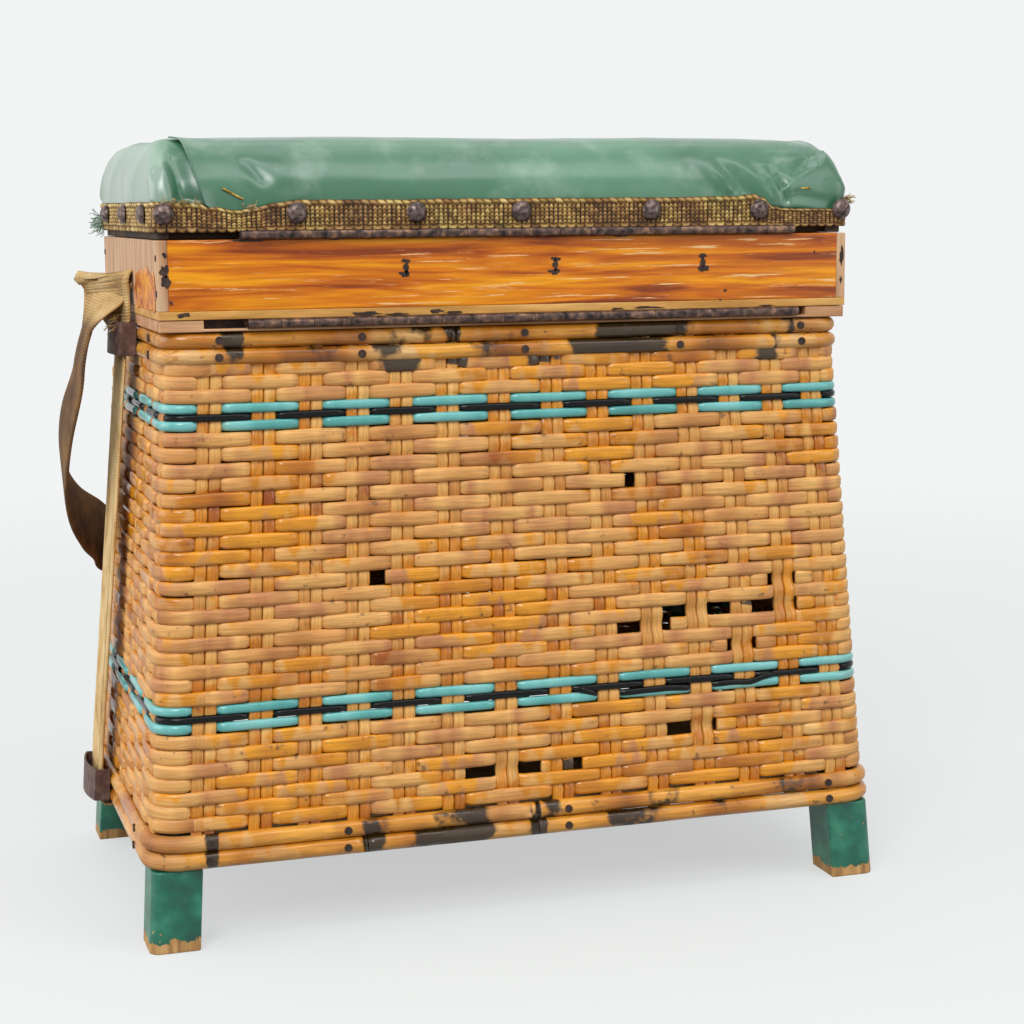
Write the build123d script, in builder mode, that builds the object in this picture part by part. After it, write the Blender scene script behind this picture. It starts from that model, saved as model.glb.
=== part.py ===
from build123d import *
from math import pi
import os

# Wicker fishing basket that doubles as a seat: a woven basket on four legs, a
# shallow bait tray hinged on top of it, a padded lid hinged on the tray, and a
# webbing strap that runs under the basket, up both ends and round as a loop.
# Millimetres. X runs along the basket, +Y points to the opening side, -Y to the
# hinge side, +Z up. The origin is the middle of the footprint on the floor.

# Tray
tray_length = 400.0
tray_depth = 217.6
tray_floor_thickness = 4.5
tray_board_height = 37.5
tray_side_thickness = 8.0
tray_end_thickness = 5.6
divider_thickness = 5.0
divider_height = 33.0
divider_shares = (-0.325, 0.105, 0.55)
tray_nail_radius = 1.7
tray_nail_proud = 0.4
tray_nail_rise = 21.7
tray_corner_nail_margin = 9.4

# Woven walls, measured outside the weave: inside the tray's outline at the top,
# flaring towards the floor
wall_top_inset_length = 2.7
wall_top_inset_depth = 2.9
wall_flare_length = 19.0
wall_flare_depth = 18.2
wall_height = 289.5
wall_thickness = 9.5
wall_corner_bottom = 18.0
wall_corner_top = 14.0

# Upright stakes in pairs: the weave sinks into a shallow channel along each pair.
# Places are shares of the run along a side, measured on the hinge side
stake_channel_width = 15.0
stake_channel_depth = 3.2
stake_side_shares = (
    -0.884, -0.734, -0.602, -0.471, -0.346, -0.21, -0.058,
    0.099, 0.238, 0.377, 0.517, 0.65, 0.788, 0.915,
)
stake_end_shares = (-0.88, -0.633, -0.377, -0.126, 0.126, 0.377, 0.633, 0.88)

# Coloured canes, two bands of blue, black, blue let into the weave
cane_diameter = 4.8
cane_pitch = 5.0
cane_seat_depth = 3.6
upper_band_drop = 45.6
lower_band_rise = 81.6

# Rim hoops, thick canes bent round the basket in two pairs
bottom_hoop_diameter = 9.5
top_hoop_diameter = 9.0
hoop_spacing_gap = 0.1
hoop_seat_depth = 6.6
hoop_joint_gap = 0.4
top_upper_joints = (-0.19,)
bottom_upper_joints = (0.02,)
bottom_lower_joints = (-0.43, 0.02)
top_nail_shares = (-0.84, -0.45, 0.015, 0.48, 0.86)
bottom_nail_shares = (-0.84, -0.49, 0.1, 0.85)
end_nail_share = 0.64
rim_nail_head_radius = 2.2
rim_nail_head_thickness = 1.0
rim_nail_shank_radius = 0.9

# Legs and the posts that rise from them inside the corners
leg_height = 45.0
leg_width = 27.5
leg_inset = 1.75
leg_corner_radius = 6.0
post_width = 20.0

# Base
batten_height = 10.0
batten_width = 12.0
batten_lift = 1.0
plank_thickness = 8.0
plank_count = 3
plank_gap = 1.0

# Top frame
frame_thickness = 6.2
frame_side_width = 20.0
frame_end_width = 14.0
frame_inset = 0.5

# Piano hinges
hinge_left_margin = 44.0
hinge_right_margin = 34.0
lower_hinge_shift = 3.0
knuckle_count = 18
knuckle_gap = 0.3
barrel_radius = 2.5
barrel_stand_off = 1.7
pin_radius = 1.2
pin_clearance = 0.05
leaf_thickness = 1.0
leaf_width = 9.5
leaf_edge_gap = 0.4
lower_rebate_left_margin = 24.0
lower_rebate_right_margin = 25.0
upper_rebate_left_margin = 7.0
upper_rebate_right_margin = 12.0

# Lid
lid_board_end_inset = 1.4
lid_board_side_inset = 2.3
lid_board_thickness = 10.0
cover_thickness = 1.2
cover_crown_height = 51.0
cover_hem_gap = 0.2
cover_hem_corner = 6.0
braid_gap = 0.9
braid_thickness = 2.3
braid_height = 15.0
dome_nail_radius = 5.75
dome_nail_height = 3.4
dome_nail_lift = 8.6
dome_nail_side_shares = (-0.965, -0.615, -0.29, 0.005, 0.385, 0.71, 0.965)
dome_nail_end_shares = (-0.74, -0.075, 0.61)
staple_length = 12.0
staple_wire_radius = 0.6
staple_gap = 0.3
staple_places = ((-0.8, 18.8, -28.0), (0.86, 20.5, 0.0))

# Strap and its keepers
strap_width = 40.0
strap_thickness = 2.2
strap_crest_rise = 20.3
strap_stand_off = 6.0
strap_foot_stand_off = 4.5
strap_foot_rise = 2.0
strap_fold_gap = 0.35
strap_fold_room = 0.5
strap_under_gap = 0.4
strap_lower_offset = 45.0
keeper_half_width = 23.5
keeper_stand_off = 12.5
keeper_side = 9.0
keeper_height = 19.0
keeper_metal = 1.1
keeper_foot = 8.0
keeper_nail_radius = 1.8
keeper_nail_height = 0.8
lower_keeper_lift = 2.0
upper_keeper_lift = 1.0

# Strap loop: its drop behind the basket, and its path from the fold to the middle
# of the back, each station (outwards, share of the way back, share of the drop,
# turn of the webbing's width in degrees)
loop_drop = 176.0
loop_wall_gap = 1.8
loop_path = (
    (0.0, 0.0, 0.0, 0),
    (1.2, 0.0, 0.051, 0),
    (7.0, 0.0, 0.119, 0),
    (14.0, 0.008, 0.193, 4),
    (19.0, 0.033, 0.341, 14),
    (24.5, 0.1, 0.466, 30),
    (26.0, 0.234, 0.585, 46),
    (24.0, 0.418, 0.688, 54),
    (18.0, 0.653, 0.784, 60),
    (10.0, 0.828, 0.864, 65),
    (-1.0, 0.92, 0.92, 73),
    (-9.0, 0.983, 0.966, 82),
    (-20.0, 1.0, 0.989, 88),
    (-42.0, 1.0, 1.0, 90),
)

# Hooks on the opening side
hook_reach = 27.0
hook_thickness = 2.0
hook_eye_radius = 4.5
hook_shank_width = 3.4
hook_head_size = 10.0
hook_pin_radius = 2.05
hook_pin_clearance = 0.06
hook_catch_radius = 2.0
hook_slot_half_width = 2.6
hook_button_radius = 4.0
hook_button_thickness = 1.4
hook_play = 0.1
hook_stand_off = 0.8
hook_base_radius = 3.0
lid_hook_place = 40.0
tray_hook_place = -40.0

# Clearances
moving_gap = 0.3
lid_gap = 0.4
seat_gap = 0.05

# Heights, outlines and slopes that follow from the values above
wall_bottom = leg_height
wall_top = wall_bottom + wall_height
wall_bottom_half_length = tray_length / 2 - wall_top_inset_length + wall_flare_length
wall_bottom_half_depth = tray_depth / 2 - wall_top_inset_depth + wall_flare_depth
length_slope = wall_flare_length / wall_height
depth_slope = wall_flare_depth / wall_height
upper_band_height = wall_top - upper_band_drop
lower_band_height = wall_bottom + lower_band_rise
bottom_lower_height = wall_bottom + bottom_hoop_diameter / 2
bottom_upper_height = bottom_lower_height + bottom_hoop_diameter + hoop_spacing_gap
top_upper_height = wall_top - top_hoop_diameter / 2 - hoop_spacing_gap
top_lower_height = top_upper_height - top_hoop_diameter - hoop_spacing_gap
frame_top = wall_top + frame_thickness
tray_bottom = frame_top + moving_gap
tray_board_bottom = tray_bottom + tray_floor_thickness
tray_top = tray_board_bottom + tray_board_height
lid_bottom = tray_top + lid_gap
lid_board_top = lid_bottom + lid_board_thickness
tray_face = tray_depth / 2
tray_end = tray_length / 2
barrel_y = -(tray_face + barrel_stand_off)
lower_barrel_z = tray_bottom - barrel_radius
upper_barrel_z = tray_top + barrel_radius
hem_bottom = upper_barrel_z + barrel_radius + cover_hem_gap
dome_nail_level = hem_bottom + dome_nail_lift
hinge_length = tray_length - hinge_left_margin - hinge_right_margin
upper_hinge_start = hinge_left_margin - tray_end
lower_hinge_start = upper_hinge_start + lower_hinge_shift
rebate_depth = leaf_width - barrel_stand_off + leaf_edge_gap
strap_crest_height = frame_top + strap_crest_rise


def half_length(height, inset=0.0):
    """Half length of the woven wall at a height, less an inset."""
    return wall_bottom_half_length - length_slope * (height - wall_bottom) - inset


def half_depth(height, inset=0.0):
    """Half depth of the woven wall at a height, less an inset."""
    return wall_bottom_half_depth - depth_slope * (height - wall_bottom) - inset


def corner_radius(height, inset=0.0):
    """Outer corner radius of the woven wall at a height, less an inset."""
    share = (height - wall_bottom) / wall_height
    radius = wall_corner_bottom + (wall_corner_top - wall_corner_bottom) * share
    return max(radius - inset, 2.0)


def finish(piece, name):
    """Label one finished piece and write its STEP file."""
    piece.part.label = name
    export_step(piece.part, "parts/" + name + ".step")


def wall_block(low, high, inset):
    """Tapered block that follows the wall between two heights."""
    with BuildPart() as block:
        for height in (low, high):
            with BuildSketch(Plane.XY.offset(height)):
                RectangleRounded(
                    2 * half_length(height, inset),
                    2 * half_depth(height, inset),
                    corner_radius(height, inset),
                )
        loft(ruled=True)
    return block.part


def wall_band_cut(low, high, depth):
    """Ring that cuts a shallow seat into the outside of the wall."""
    with BuildPart() as ring:
        add(wall_block(low, high, -bottom_hoop_diameter))
        add(wall_block(low, high, depth), mode=Mode.SUBTRACT)
    return ring.part


def cane_ring(height, radius, seat_depth):
    """Round cane bent once round the basket, lying in a seat of the wall."""
    inset = seat_depth - radius - seat_gap
    x = half_length(height, inset)
    y = half_depth(height, inset)
    corner = corner_radius(height, inset)
    with BuildPart() as ring:
        with BuildLine(Plane.XY.offset(height)) as path:
            FilletPolyline((-x, -y), (x, -y), (x, y), (-x, y), radius=corner, close=True)
        with BuildSketch(Plane(origin=path.line @ 0, z_dir=path.line % 0)):
            Circle(radius)
        sweep(path=path.line)
    return ring.part


def stake_channel(low, high, side, share, along_end):
    """Tapered cutter for the channel along one stake pair, on an end or a side."""
    with BuildPart() as cutter:
        for height in (low, high):
            corner = corner_radius(height) * (1 - pi / 4)
            middle = -stake_channel_depth + stake_channel_width / 2
            if along_end:
                place = share * (half_depth(height) - corner)
                spot = (side * (half_length(height) + middle), place)
            else:
                place = share * (half_length(height) - corner)
                spot = (place, side * (half_depth(height) + middle))
            with BuildSketch(Plane.XY.offset(height)):
                with Locations(spot):
                    Rectangle(stake_channel_width, stake_channel_width)
        loft(ruled=True)
    return cutter.part


os.makedirs("parts", exist_ok=True)

# Woven walls: one tapered shell, with seats for the hoops and the coloured canes and
# a channel along each pair of stakes
bottom_seat_top = bottom_upper_height + bottom_hoop_diameter / 2 + hoop_spacing_gap
top_seat_bottom = top_lower_height - top_hoop_diameter / 2 - hoop_spacing_gap
band_half_height = cane_pitch + cane_diameter / 2 + seat_gap
with BuildPart() as wicker_walls:
    add(wall_block(wall_bottom, wall_top, 0))
    add(wall_block(wall_bottom, wall_top, wall_thickness), mode=Mode.SUBTRACT)
    add(wall_band_cut(wall_bottom, bottom_seat_top, hoop_seat_depth), mode=Mode.SUBTRACT)
    add(wall_band_cut(top_seat_bottom, wall_top, hoop_seat_depth), mode=Mode.SUBTRACT)
    for band in (upper_band_height, lower_band_height):
        add(
            wall_band_cut(band - band_half_height, band + band_half_height, cane_seat_depth),
            mode=Mode.SUBTRACT,
        )
    for side in (-1, 1):
        for along_end, shares in ((False, stake_side_shares), (True, stake_end_shares)):
            for share in shares:
                add(
                    stake_channel(bottom_seat_top, top_seat_bottom, side, -side * share, along_end),
                    mode=Mode.SUBTRACT,
                )
finish(wicker_walls, "wicker_walls")

# Coloured canes: blue above and below a black one, in each band
for band_name, band in (("upper", upper_band_height), ("lower", lower_band_height)):
    with BuildPart() as blue_canes:
        for height in (band - cane_pitch, band + cane_pitch):
            add(cane_ring(height, cane_diameter / 2, cane_seat_depth))
    finish(blue_canes, band_name + "_blue_canes")
    with BuildPart() as black_cane:
        add(cane_ring(band, cane_diameter / 2, cane_seat_depth))
    finish(black_cane, band_name + "_black_cane")


def nail_spots(height, hoop_radius, shares):
    """Planes on the outside of a hoop, one for each nail, facing outwards."""
    proud = hoop_seat_depth - seat_gap - 2 * hoop_radius
    face_y = half_depth(height, proud)
    face_x = half_length(height, proud)
    spots = []
    for share in shares:
        spots.append(Plane(origin=(share * face_x, -face_y, height), z_dir=(0, -1, 0)))
        spots.append(Plane(origin=(-share * face_x, face_y, height), z_dir=(0, 1, 0)))
    for side in (-1, 1):
        for share in (-end_nail_share, end_nail_share):
            spots.append(Plane(origin=(side * face_x, share * face_y, height), z_dir=(side, 0, 0)))
    return spots


def hoop(name, height, radius, joints, nails):
    """Rim hoop with its butt joints open and a seat and hole for each nail."""
    flat = rim_nail_head_thickness / 2
    with BuildPart() as piece:
        add(cane_ring(height, radius, hoop_seat_depth))
        for share in joints:
            with Locations((share * half_length(height), -half_depth(height), height)):
                Box(hoop_joint_gap, 6 * radius, 3 * radius, mode=Mode.SUBTRACT)
        for spot in nail_spots(height, radius, nails):
            with Locations(spot.offset(-flat)):
                Cylinder(
                    rim_nail_head_radius + seat_gap,
                    2 * flat,
                    align=(Align.CENTER, Align.CENTER, Align.MIN),
                    mode=Mode.SUBTRACT,
                )
            with Locations(spot.offset(-radius)):
                Cylinder(rim_nail_shank_radius + seat_gap, 3 * radius, mode=Mode.SUBTRACT)
    finish(piece, name)


# Hoops: a pair at the bottom and a pair at the top, jointed where the canes meet
top_hoop_radius = top_hoop_diameter / 2
bottom_hoop_radius = bottom_hoop_diameter / 2
hoop("top_rim_upper", top_upper_height, top_hoop_radius, top_upper_joints, top_nail_shares)
hoop("top_rim_lower", top_lower_height, top_hoop_radius, (), top_nail_shares)
hoop(
    "bottom_rim_upper",
    bottom_upper_height,
    bottom_hoop_radius,
    bottom_upper_joints,
    bottom_nail_shares,
)
hoop(
    "bottom_rim_lower",
    bottom_lower_height,
    bottom_hoop_radius,
    bottom_lower_joints,
    bottom_nail_shares,
)

# Rim nails: head on the hoop, shank through it to the weave
with BuildPart() as rim_nails:
    for height, radius, shares in (
        (top_upper_height, top_hoop_radius, top_nail_shares),
        (top_lower_height, top_hoop_radius, top_nail_shares),
        (bottom_upper_height, bottom_hoop_radius, bottom_nail_shares),
        (bottom_lower_height, bottom_hoop_radius, bottom_nail_shares),
    ):
        for spot in nail_spots(height, radius, shares):
            with Locations(spot.offset(-rim_nail_head_thickness / 2)):
                Cylinder(
                    rim_nail_head_radius,
                    rim_nail_head_thickness,
                    align=(Align.CENTER, Align.CENTER, Align.MIN),
                )
                Cylinder(
                    rim_nail_shank_radius,
                    2 * radius - rim_nail_head_thickness,
                    align=(Align.CENTER, Align.CENTER, Align.MAX),
                )
finish(rim_nails, "rim_nails")


def corner_block(low, high, width, side_x, side_y):
    """Tapered square post in one corner, its outer edge rounded.

    low and high are each (height, outer_x, outer_y, corner radius).
    """
    with BuildPart() as block:
        for height, outer_x, outer_y, radius in (low, high):
            with BuildSketch(Plane.XY.offset(height)) as section:
                with Locations((side_x * (outer_x - width / 2), side_y * (outer_y - width / 2))):
                    Rectangle(width, width)
                fillet(section.vertices().sort_by_distance((0, 0, height))[-1], radius)
        loft(ruled=True)
    return block.part


def post_corner(height):
    """Height, outer corner and radius of a post inside the wall."""
    outer_x = half_length(height, wall_thickness)
    outer_y = half_depth(height, wall_thickness)
    return (height, outer_x, outer_y, corner_radius(height, wall_thickness))


# Legs: painted foot below the hoops, slimmer post above them inside the corner
foot_low = (0, half_length(0, leg_inset), half_depth(0, leg_inset), leg_corner_radius)
foot_high = (
    leg_height,
    half_length(leg_height, leg_inset),
    half_depth(leg_height, leg_inset),
    leg_corner_radius,
)
for leg_name, side_x, side_y in (
    ("leg_left_hinge_side", -1, -1),
    ("leg_right_hinge_side", 1, -1),
    ("leg_left_opening_side", -1, 1),
    ("leg_right_opening_side", 1, 1),
):
    with BuildPart() as leg:
        add(corner_block(foot_low, foot_high, leg_width, side_x, side_y))
        add(corner_block(post_corner(wall_bottom), post_corner(wall_top), post_width, side_x, side_y))
    finish(leg, leg_name)

# Base battens: one between the posts at each end and one across the middle
batten_bottom = wall_bottom + batten_lift
plank_bottom = batten_bottom + batten_height
plank_top = plank_bottom + plank_thickness
batten_x = half_length(plank_bottom, wall_thickness + moving_gap) - batten_width / 2
end_batten_half = half_depth(plank_bottom, wall_thickness + post_width + seat_gap)
middle_batten_half = half_depth(plank_bottom, wall_thickness + moving_gap)
with BuildPart() as base_battens:
    for place, half in ((-batten_x, end_batten_half), (0, middle_batten_half), (batten_x, end_batten_half)):
        with Locations((place, 0, batten_bottom + batten_height / 2)):
            Box(batten_width, 2 * half, batten_height)
finish(base_battens, "base_battens")

# Base planks: laid along the basket on the battens, notched round the posts
plank_half_length = half_length(plank_top, wall_thickness + moving_gap)
plank_half_depth = half_depth(plank_top, wall_thickness + moving_gap)
plank_width = (2 * plank_half_depth - (plank_count - 1) * plank_gap) / plank_count
post_clear_x = half_length(plank_top, wall_thickness + post_width + moving_gap)
post_clear_y = half_depth(plank_top, wall_thickness + post_width + moving_gap)
with BuildPart() as base_planks:
    with Locations((0, 0, plank_bottom + plank_thickness / 2)):
        with GridLocations(0, plank_width + plank_gap, 1, plank_count):
            Box(2 * plank_half_length, plank_width, plank_thickness)
    for side_x in (-1, 1):
        for side_y in (-1, 1):
            with Locations((side_x * post_clear_x, side_y * post_clear_y, plank_bottom)):
                Box(
                    2 * post_width,
                    2 * post_width,
                    3 * plank_thickness,
                    align=(
                        Align.MIN if side_x > 0 else Align.MAX,
                        Align.MIN if side_y > 0 else Align.MAX,
                        Align.CENTER,
                    ),
                    mode=Mode.SUBTRACT,
                )
finish(base_planks, "base_planks")

# Top frame: four rails lying on the wall, the hinge side one let in for the hinge
frame_half_length = tray_end - frame_inset
frame_half_depth = tray_face - frame_inset
frame_middle = wall_top + frame_thickness / 2
rebate_floor = lower_barrel_z - barrel_radius
lower_rebate_start = lower_rebate_left_margin - tray_end
lower_rebate_end = tray_end - lower_rebate_right_margin
for rail_name, side in (("frame_rail_hinge_side", -1), ("frame_rail_opening_side", 1)):
    with BuildPart() as rail:
        with Locations((0, side * (frame_half_depth - frame_side_width / 2), frame_middle)):
            Box(2 * frame_half_length, frame_side_width, frame_thickness)
        if side < 0:
            with Locations(((lower_rebate_start + lower_rebate_end) / 2, -tray_face, rebate_floor)):
                Box(
                    lower_rebate_end - lower_rebate_start,
                    2 * rebate_depth,
                    frame_thickness,
                    align=(Align.CENTER, Align.CENTER, Align.MIN),
                    mode=Mode.SUBTRACT,
                )
    finish(rail, rail_name)
end_rail_half = frame_half_depth - frame_side_width
for rail_name, side in (("frame_rail_left", -1), ("frame_rail_right", 1)):
    with BuildPart() as rail:
        with Locations((side * (frame_half_length - frame_end_width / 2), 0, frame_middle)):
            Box(frame_end_width, 2 * end_rail_half, frame_thickness)
    finish(rail, rail_name)


def hinge_leaf(name, start, barrel_z, on_top, first_knuckle):
    """One leaf of a piano hinge, a plate with every second knuckle of the barrel."""
    side = 1 if on_top else -1
    plate_z = barrel_z + side * (barrel_radius - leaf_thickness / 2)
    plate_edge = barrel_radius + leaf_edge_gap
    pitch = hinge_length / knuckle_count
    with BuildPart() as leaf:
        with Locations((start + hinge_length / 2, barrel_y + (plate_edge + leaf_width) / 2, plate_z)):
            Box(hinge_length, leaf_width - plate_edge, leaf_thickness)
        for number in range(first_knuckle, knuckle_count, 2):
            middle = start + (number + 0.5) * pitch
            with Locations((middle, barrel_y + plate_edge / 2, plate_z)):
                Box(pitch - knuckle_gap, plate_edge, leaf_thickness)
            with Locations(Location((middle, barrel_y, barrel_z), (0, 90, 0))):
                Cylinder(barrel_radius, pitch - knuckle_gap)
        with Locations(Location((start + hinge_length / 2, barrel_y, barrel_z), (0, 90, 0))):
            Cylinder(pin_radius + pin_clearance, 2 * hinge_length, mode=Mode.SUBTRACT)
    finish(leaf, name)


def hinge_pin(name, start, barrel_z):
    """Wire pin through all the knuckles of a piano hinge."""
    with BuildPart() as pin:
        with Locations(Location((start + hinge_length / 2, barrel_y, barrel_z), (0, 90, 0))):
            Cylinder(pin_radius, hinge_length)
    finish(pin, name)


# Lower hinge joins frame and tray, upper hinge joins tray and lid
hinge_leaf("lower_hinge_basket_leaf", lower_hinge_start, lower_barrel_z, False, 0)
hinge_leaf("lower_hinge_tray_leaf", lower_hinge_start, lower_barrel_z, True, 1)
hinge_pin("lower_hinge_pin", lower_hinge_start, lower_barrel_z)
hinge_leaf("upper_hinge_tray_leaf", upper_hinge_start, upper_barrel_z, False, 0)
hinge_leaf("upper_hinge_lid_leaf", upper_hinge_start, upper_barrel_z, True, 1)
hinge_pin("upper_hinge_pin", upper_hinge_start, upper_barrel_z)

# Tray floor: a thin board under all the tray's sides
with BuildPart() as tray_floor:
    with Locations((0, 0, tray_bottom + tray_floor_thickness / 2)):
        Box(tray_length, tray_depth, tray_floor_thickness)
finish(tray_floor, "tray_floor")

# Tray sides: the long boards stand between the end boards
side_board_length = tray_length - 2 * tray_end_thickness
tray_board_middle = tray_board_bottom + tray_board_height / 2
for board_name, side in (("tray_board_hinge_side", -1), ("tray_board_opening_side", 1)):
    with BuildPart() as board:
        with Locations((0, side * (tray_face - tray_side_thickness / 2), tray_board_middle)):
            Box(side_board_length, tray_side_thickness, tray_board_height)
    finish(board, board_name)
for board_name, side in (("tray_board_left", -1), ("tray_board_right", 1)):
    with BuildPart() as board:
        with Locations((side * (tray_end - tray_end_thickness / 2), 0, tray_board_middle)):
            Box(tray_end_thickness, tray_depth, tray_board_height)
    finish(board, board_name)

# Tray dividers: full depth, a little lower than the sides
divider_depth = tray_depth - 2 * tray_side_thickness
for number, share in enumerate(divider_shares, start=1):
    with BuildPart() as divider:
        with Locations((share * tray_end, 0, tray_board_bottom + divider_height / 2)):
            Box(divider_thickness, divider_depth, divider_height)
    finish(divider, "tray_divider_" + str(number))

# Tray nails: one through each long board into each divider, two at each corner
tray_nail_spots = []
for side in (-1, 1):
    for share in divider_shares:
        middle = (share * tray_end, side * tray_face, tray_board_bottom + tray_nail_rise)
        tray_nail_spots.append(Plane(origin=middle, z_dir=(0, side, 0)))
    for corner in (-1, 1):
        for height in (tray_board_bottom + tray_corner_nail_margin, tray_top - tray_corner_nail_margin):
            middle = (side * tray_end, corner * (tray_face - tray_side_thickness / 2), height)
            tray_nail_spots.append(Plane(origin=middle, z_dir=(side, 0, 0)))
with BuildPart() as tray_nails:
    for spot in tray_nail_spots:
        with Locations(spot):
            Cylinder(
                tray_nail_radius,
                tray_nail_proud,
                align=(Align.CENTER, Align.CENTER, Align.MIN),
            )
finish(tray_nails, "tray_nails")

# Lid board: let in along the hinge side for the upper hinge
board_half_length = tray_end - lid_board_end_inset
board_half_depth = tray_face - lid_board_side_inset
cover_hem_length = 2 * (board_half_length + cover_thickness + seat_gap)
cover_hem_depth = 2 * (board_half_depth + cover_thickness + seat_gap)
lid_rebate_top = upper_barrel_z + barrel_radius
upper_rebate_start = upper_rebate_left_margin - tray_end
upper_rebate_end = tray_end - upper_rebate_right_margin
board_corner = cover_hem_corner - cover_thickness - seat_gap
with BuildPart() as lid_board:
    with BuildSketch(Plane.XY.offset(lid_bottom)):
        RectangleRounded(2 * board_half_length, 2 * board_half_depth, board_corner)
    extrude(amount=lid_board_thickness)
    with Locations(((upper_rebate_start + upper_rebate_end) / 2, -tray_face, lid_rebate_top)):
        Box(
            upper_rebate_end - upper_rebate_start,
            2 * rebate_depth,
            lid_board_thickness,
            align=(Align.CENTER, Align.CENTER, Align.MAX),
            mode=Mode.SUBTRACT,
        )
finish(lid_board, "lid_board")

# Shape of the stuffed seat: share of the crown height, inset of the side, corner
cushion_rings = (
    (0.0, 0.0, cover_hem_corner),
    (0.28, -0.6, 8.0),
    (0.50, 1.2, 12.0),
    (0.72, 6.5, 18.0),
    (0.88, 15.5, 24.0),
    (0.97, 30.0, 30.0),
    (1.0, 52.0, 36.0),
)


def cushion_body(skin):
    """Stuffed seat with drawn in sides and a crown, less a skin all round."""
    with BuildPart() as body:
        for share, inset, corner in cushion_rings:
            height = hem_bottom + share * (cover_crown_height - skin)
            with BuildSketch(Plane.XY.offset(height)):
                RectangleRounded(
                    cover_hem_length - 2 * (inset + skin),
                    cover_hem_depth - 2 * (inset + skin),
                    corner - skin,
                )
        loft(ruled=False)
    return body.part


# Cover: green leathercloth drawn over the padding and down the edge of the board
with BuildPart() as board_room:
    with BuildSketch(Plane.XY.offset(lid_bottom)):
        RectangleRounded(
            2 * board_half_length + 2 * seat_gap,
            2 * board_half_depth + 2 * seat_gap,
            board_corner + seat_gap,
        )
    extrude(amount=lid_board_thickness + seat_gap)
with BuildPart() as lid_cover:
    add(cushion_body(0))
    add(cushion_body(cover_thickness), mode=Mode.SUBTRACT)
    add(board_room.part, mode=Mode.SUBTRACT)
finish(lid_cover, "lid_cover")

# Padding: fills the cover above the board
with BuildPart() as lid_padding:
    add(cushion_body(cover_thickness + seat_gap))
    with Locations((0, 0, lid_board_top + seat_gap)):
        Box(
            2 * cover_hem_length,
            2 * cover_hem_depth,
            2 * lid_board_thickness,
            align=(Align.CENTER, Align.CENTER, Align.MAX),
            mode=Mode.SUBTRACT,
        )
finish(lid_padding, "lid_padding")

# Braid: woven gimp round the hem of the cover
braid_corner = cover_hem_corner + braid_gap
braid_inner_x = cover_hem_length / 2 + braid_gap
braid_inner_y = cover_hem_depth / 2 + braid_gap
braid_face_x = braid_inner_x + braid_thickness
braid_face_y = braid_inner_y + braid_thickness
with BuildPart() as lid_braid:
    with BuildSketch(Plane.XY.offset(hem_bottom)):
        RectangleRounded(2 * braid_face_x, 2 * braid_face_y, braid_corner + braid_thickness)
        RectangleRounded(2 * braid_inner_x, 2 * braid_inner_y, braid_corner, mode=Mode.SUBTRACT)
    extrude(amount=braid_height)
finish(lid_braid, "lid_braid")

# Dome nails: round heads on the braid
dome_spots = []
for share in dome_nail_side_shares:
    for side in (-1, 1):
        middle = (-side * share * braid_face_x, side * braid_face_y, dome_nail_level)
        dome_spots.append(Plane(origin=middle, z_dir=(0, side, 0)))
for share in dome_nail_end_shares:
    for side in (-1, 1):
        middle = (side * braid_face_x, share * braid_face_y, dome_nail_level)
        dome_spots.append(Plane(origin=middle, z_dir=(side, 0, 0)))
dome_ball_radius = (dome_nail_radius**2 + dome_nail_height**2) / (2 * dome_nail_height)
with BuildPart() as dome_nail:
    with BuildSketch(Plane.XZ):
        with BuildLine():
            Line((0, 0), (dome_nail_radius, 0))
            RadiusArc((dome_nail_radius, 0), (0, dome_nail_height), -dome_ball_radius)
            Line((0, dome_nail_height), (0, 0))
        make_face()
    revolve(axis=Axis.Z)
with BuildPart() as dome_nails:
    for spot in dome_spots:
        add(spot.offset(seat_gap).location * dome_nail.part)
finish(dome_nails, "dome_nails")


def cover_face(rise):
    """Depth of the cover's side face at a rise above the hem."""
    share = rise / cover_crown_height
    for low, high in zip(cushion_rings, cushion_rings[1:]):
        if low[0] <= share <= high[0]:
            part = (share - low[0]) / (high[0] - low[0])
            return cover_hem_depth / 2 - low[1] - part * (high[1] - low[1])
    return cover_hem_depth / 2


# Staples: wires that pin the folded corners of the cover on the hinge side
with BuildPart() as cover_staples:
    for share, rise, turn in staple_places:
        wire_y = -cover_face(rise - staple_length / 4) - staple_wire_radius - staple_gap
        spot = Location((share * board_half_length, wire_y, hem_bottom + rise), (0, 90 - turn, 0))
        with Locations(spot):
            Cylinder(staple_wire_radius, staple_length)
finish(cover_staples, "cover_staples")

# Strap keepers: bowed metal strips nailed over the hoops, which guide the strap
lower_keeper_height = (bottom_lower_height + bottom_upper_height) / 2 + lower_keeper_lift
upper_keeper_height = (top_lower_height + top_upper_height) / 2 + upper_keeper_lift
lower_hoop_face = half_length(lower_keeper_height, hoop_seat_depth - seat_gap - bottom_hoop_diameter)
upper_hoop_face = half_length(upper_keeper_height, hoop_seat_depth - seat_gap - top_hoop_diameter)


def keeper_plane(height, face, offset):
    """Plane square to the slope of the left end, with its Y axis pointing outwards."""
    seat = (-face - seat_gap, offset, height)
    return Plane(origin=seat, x_dir=(0, 1, 0), z_dir=(length_slope, 0, 1))


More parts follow.
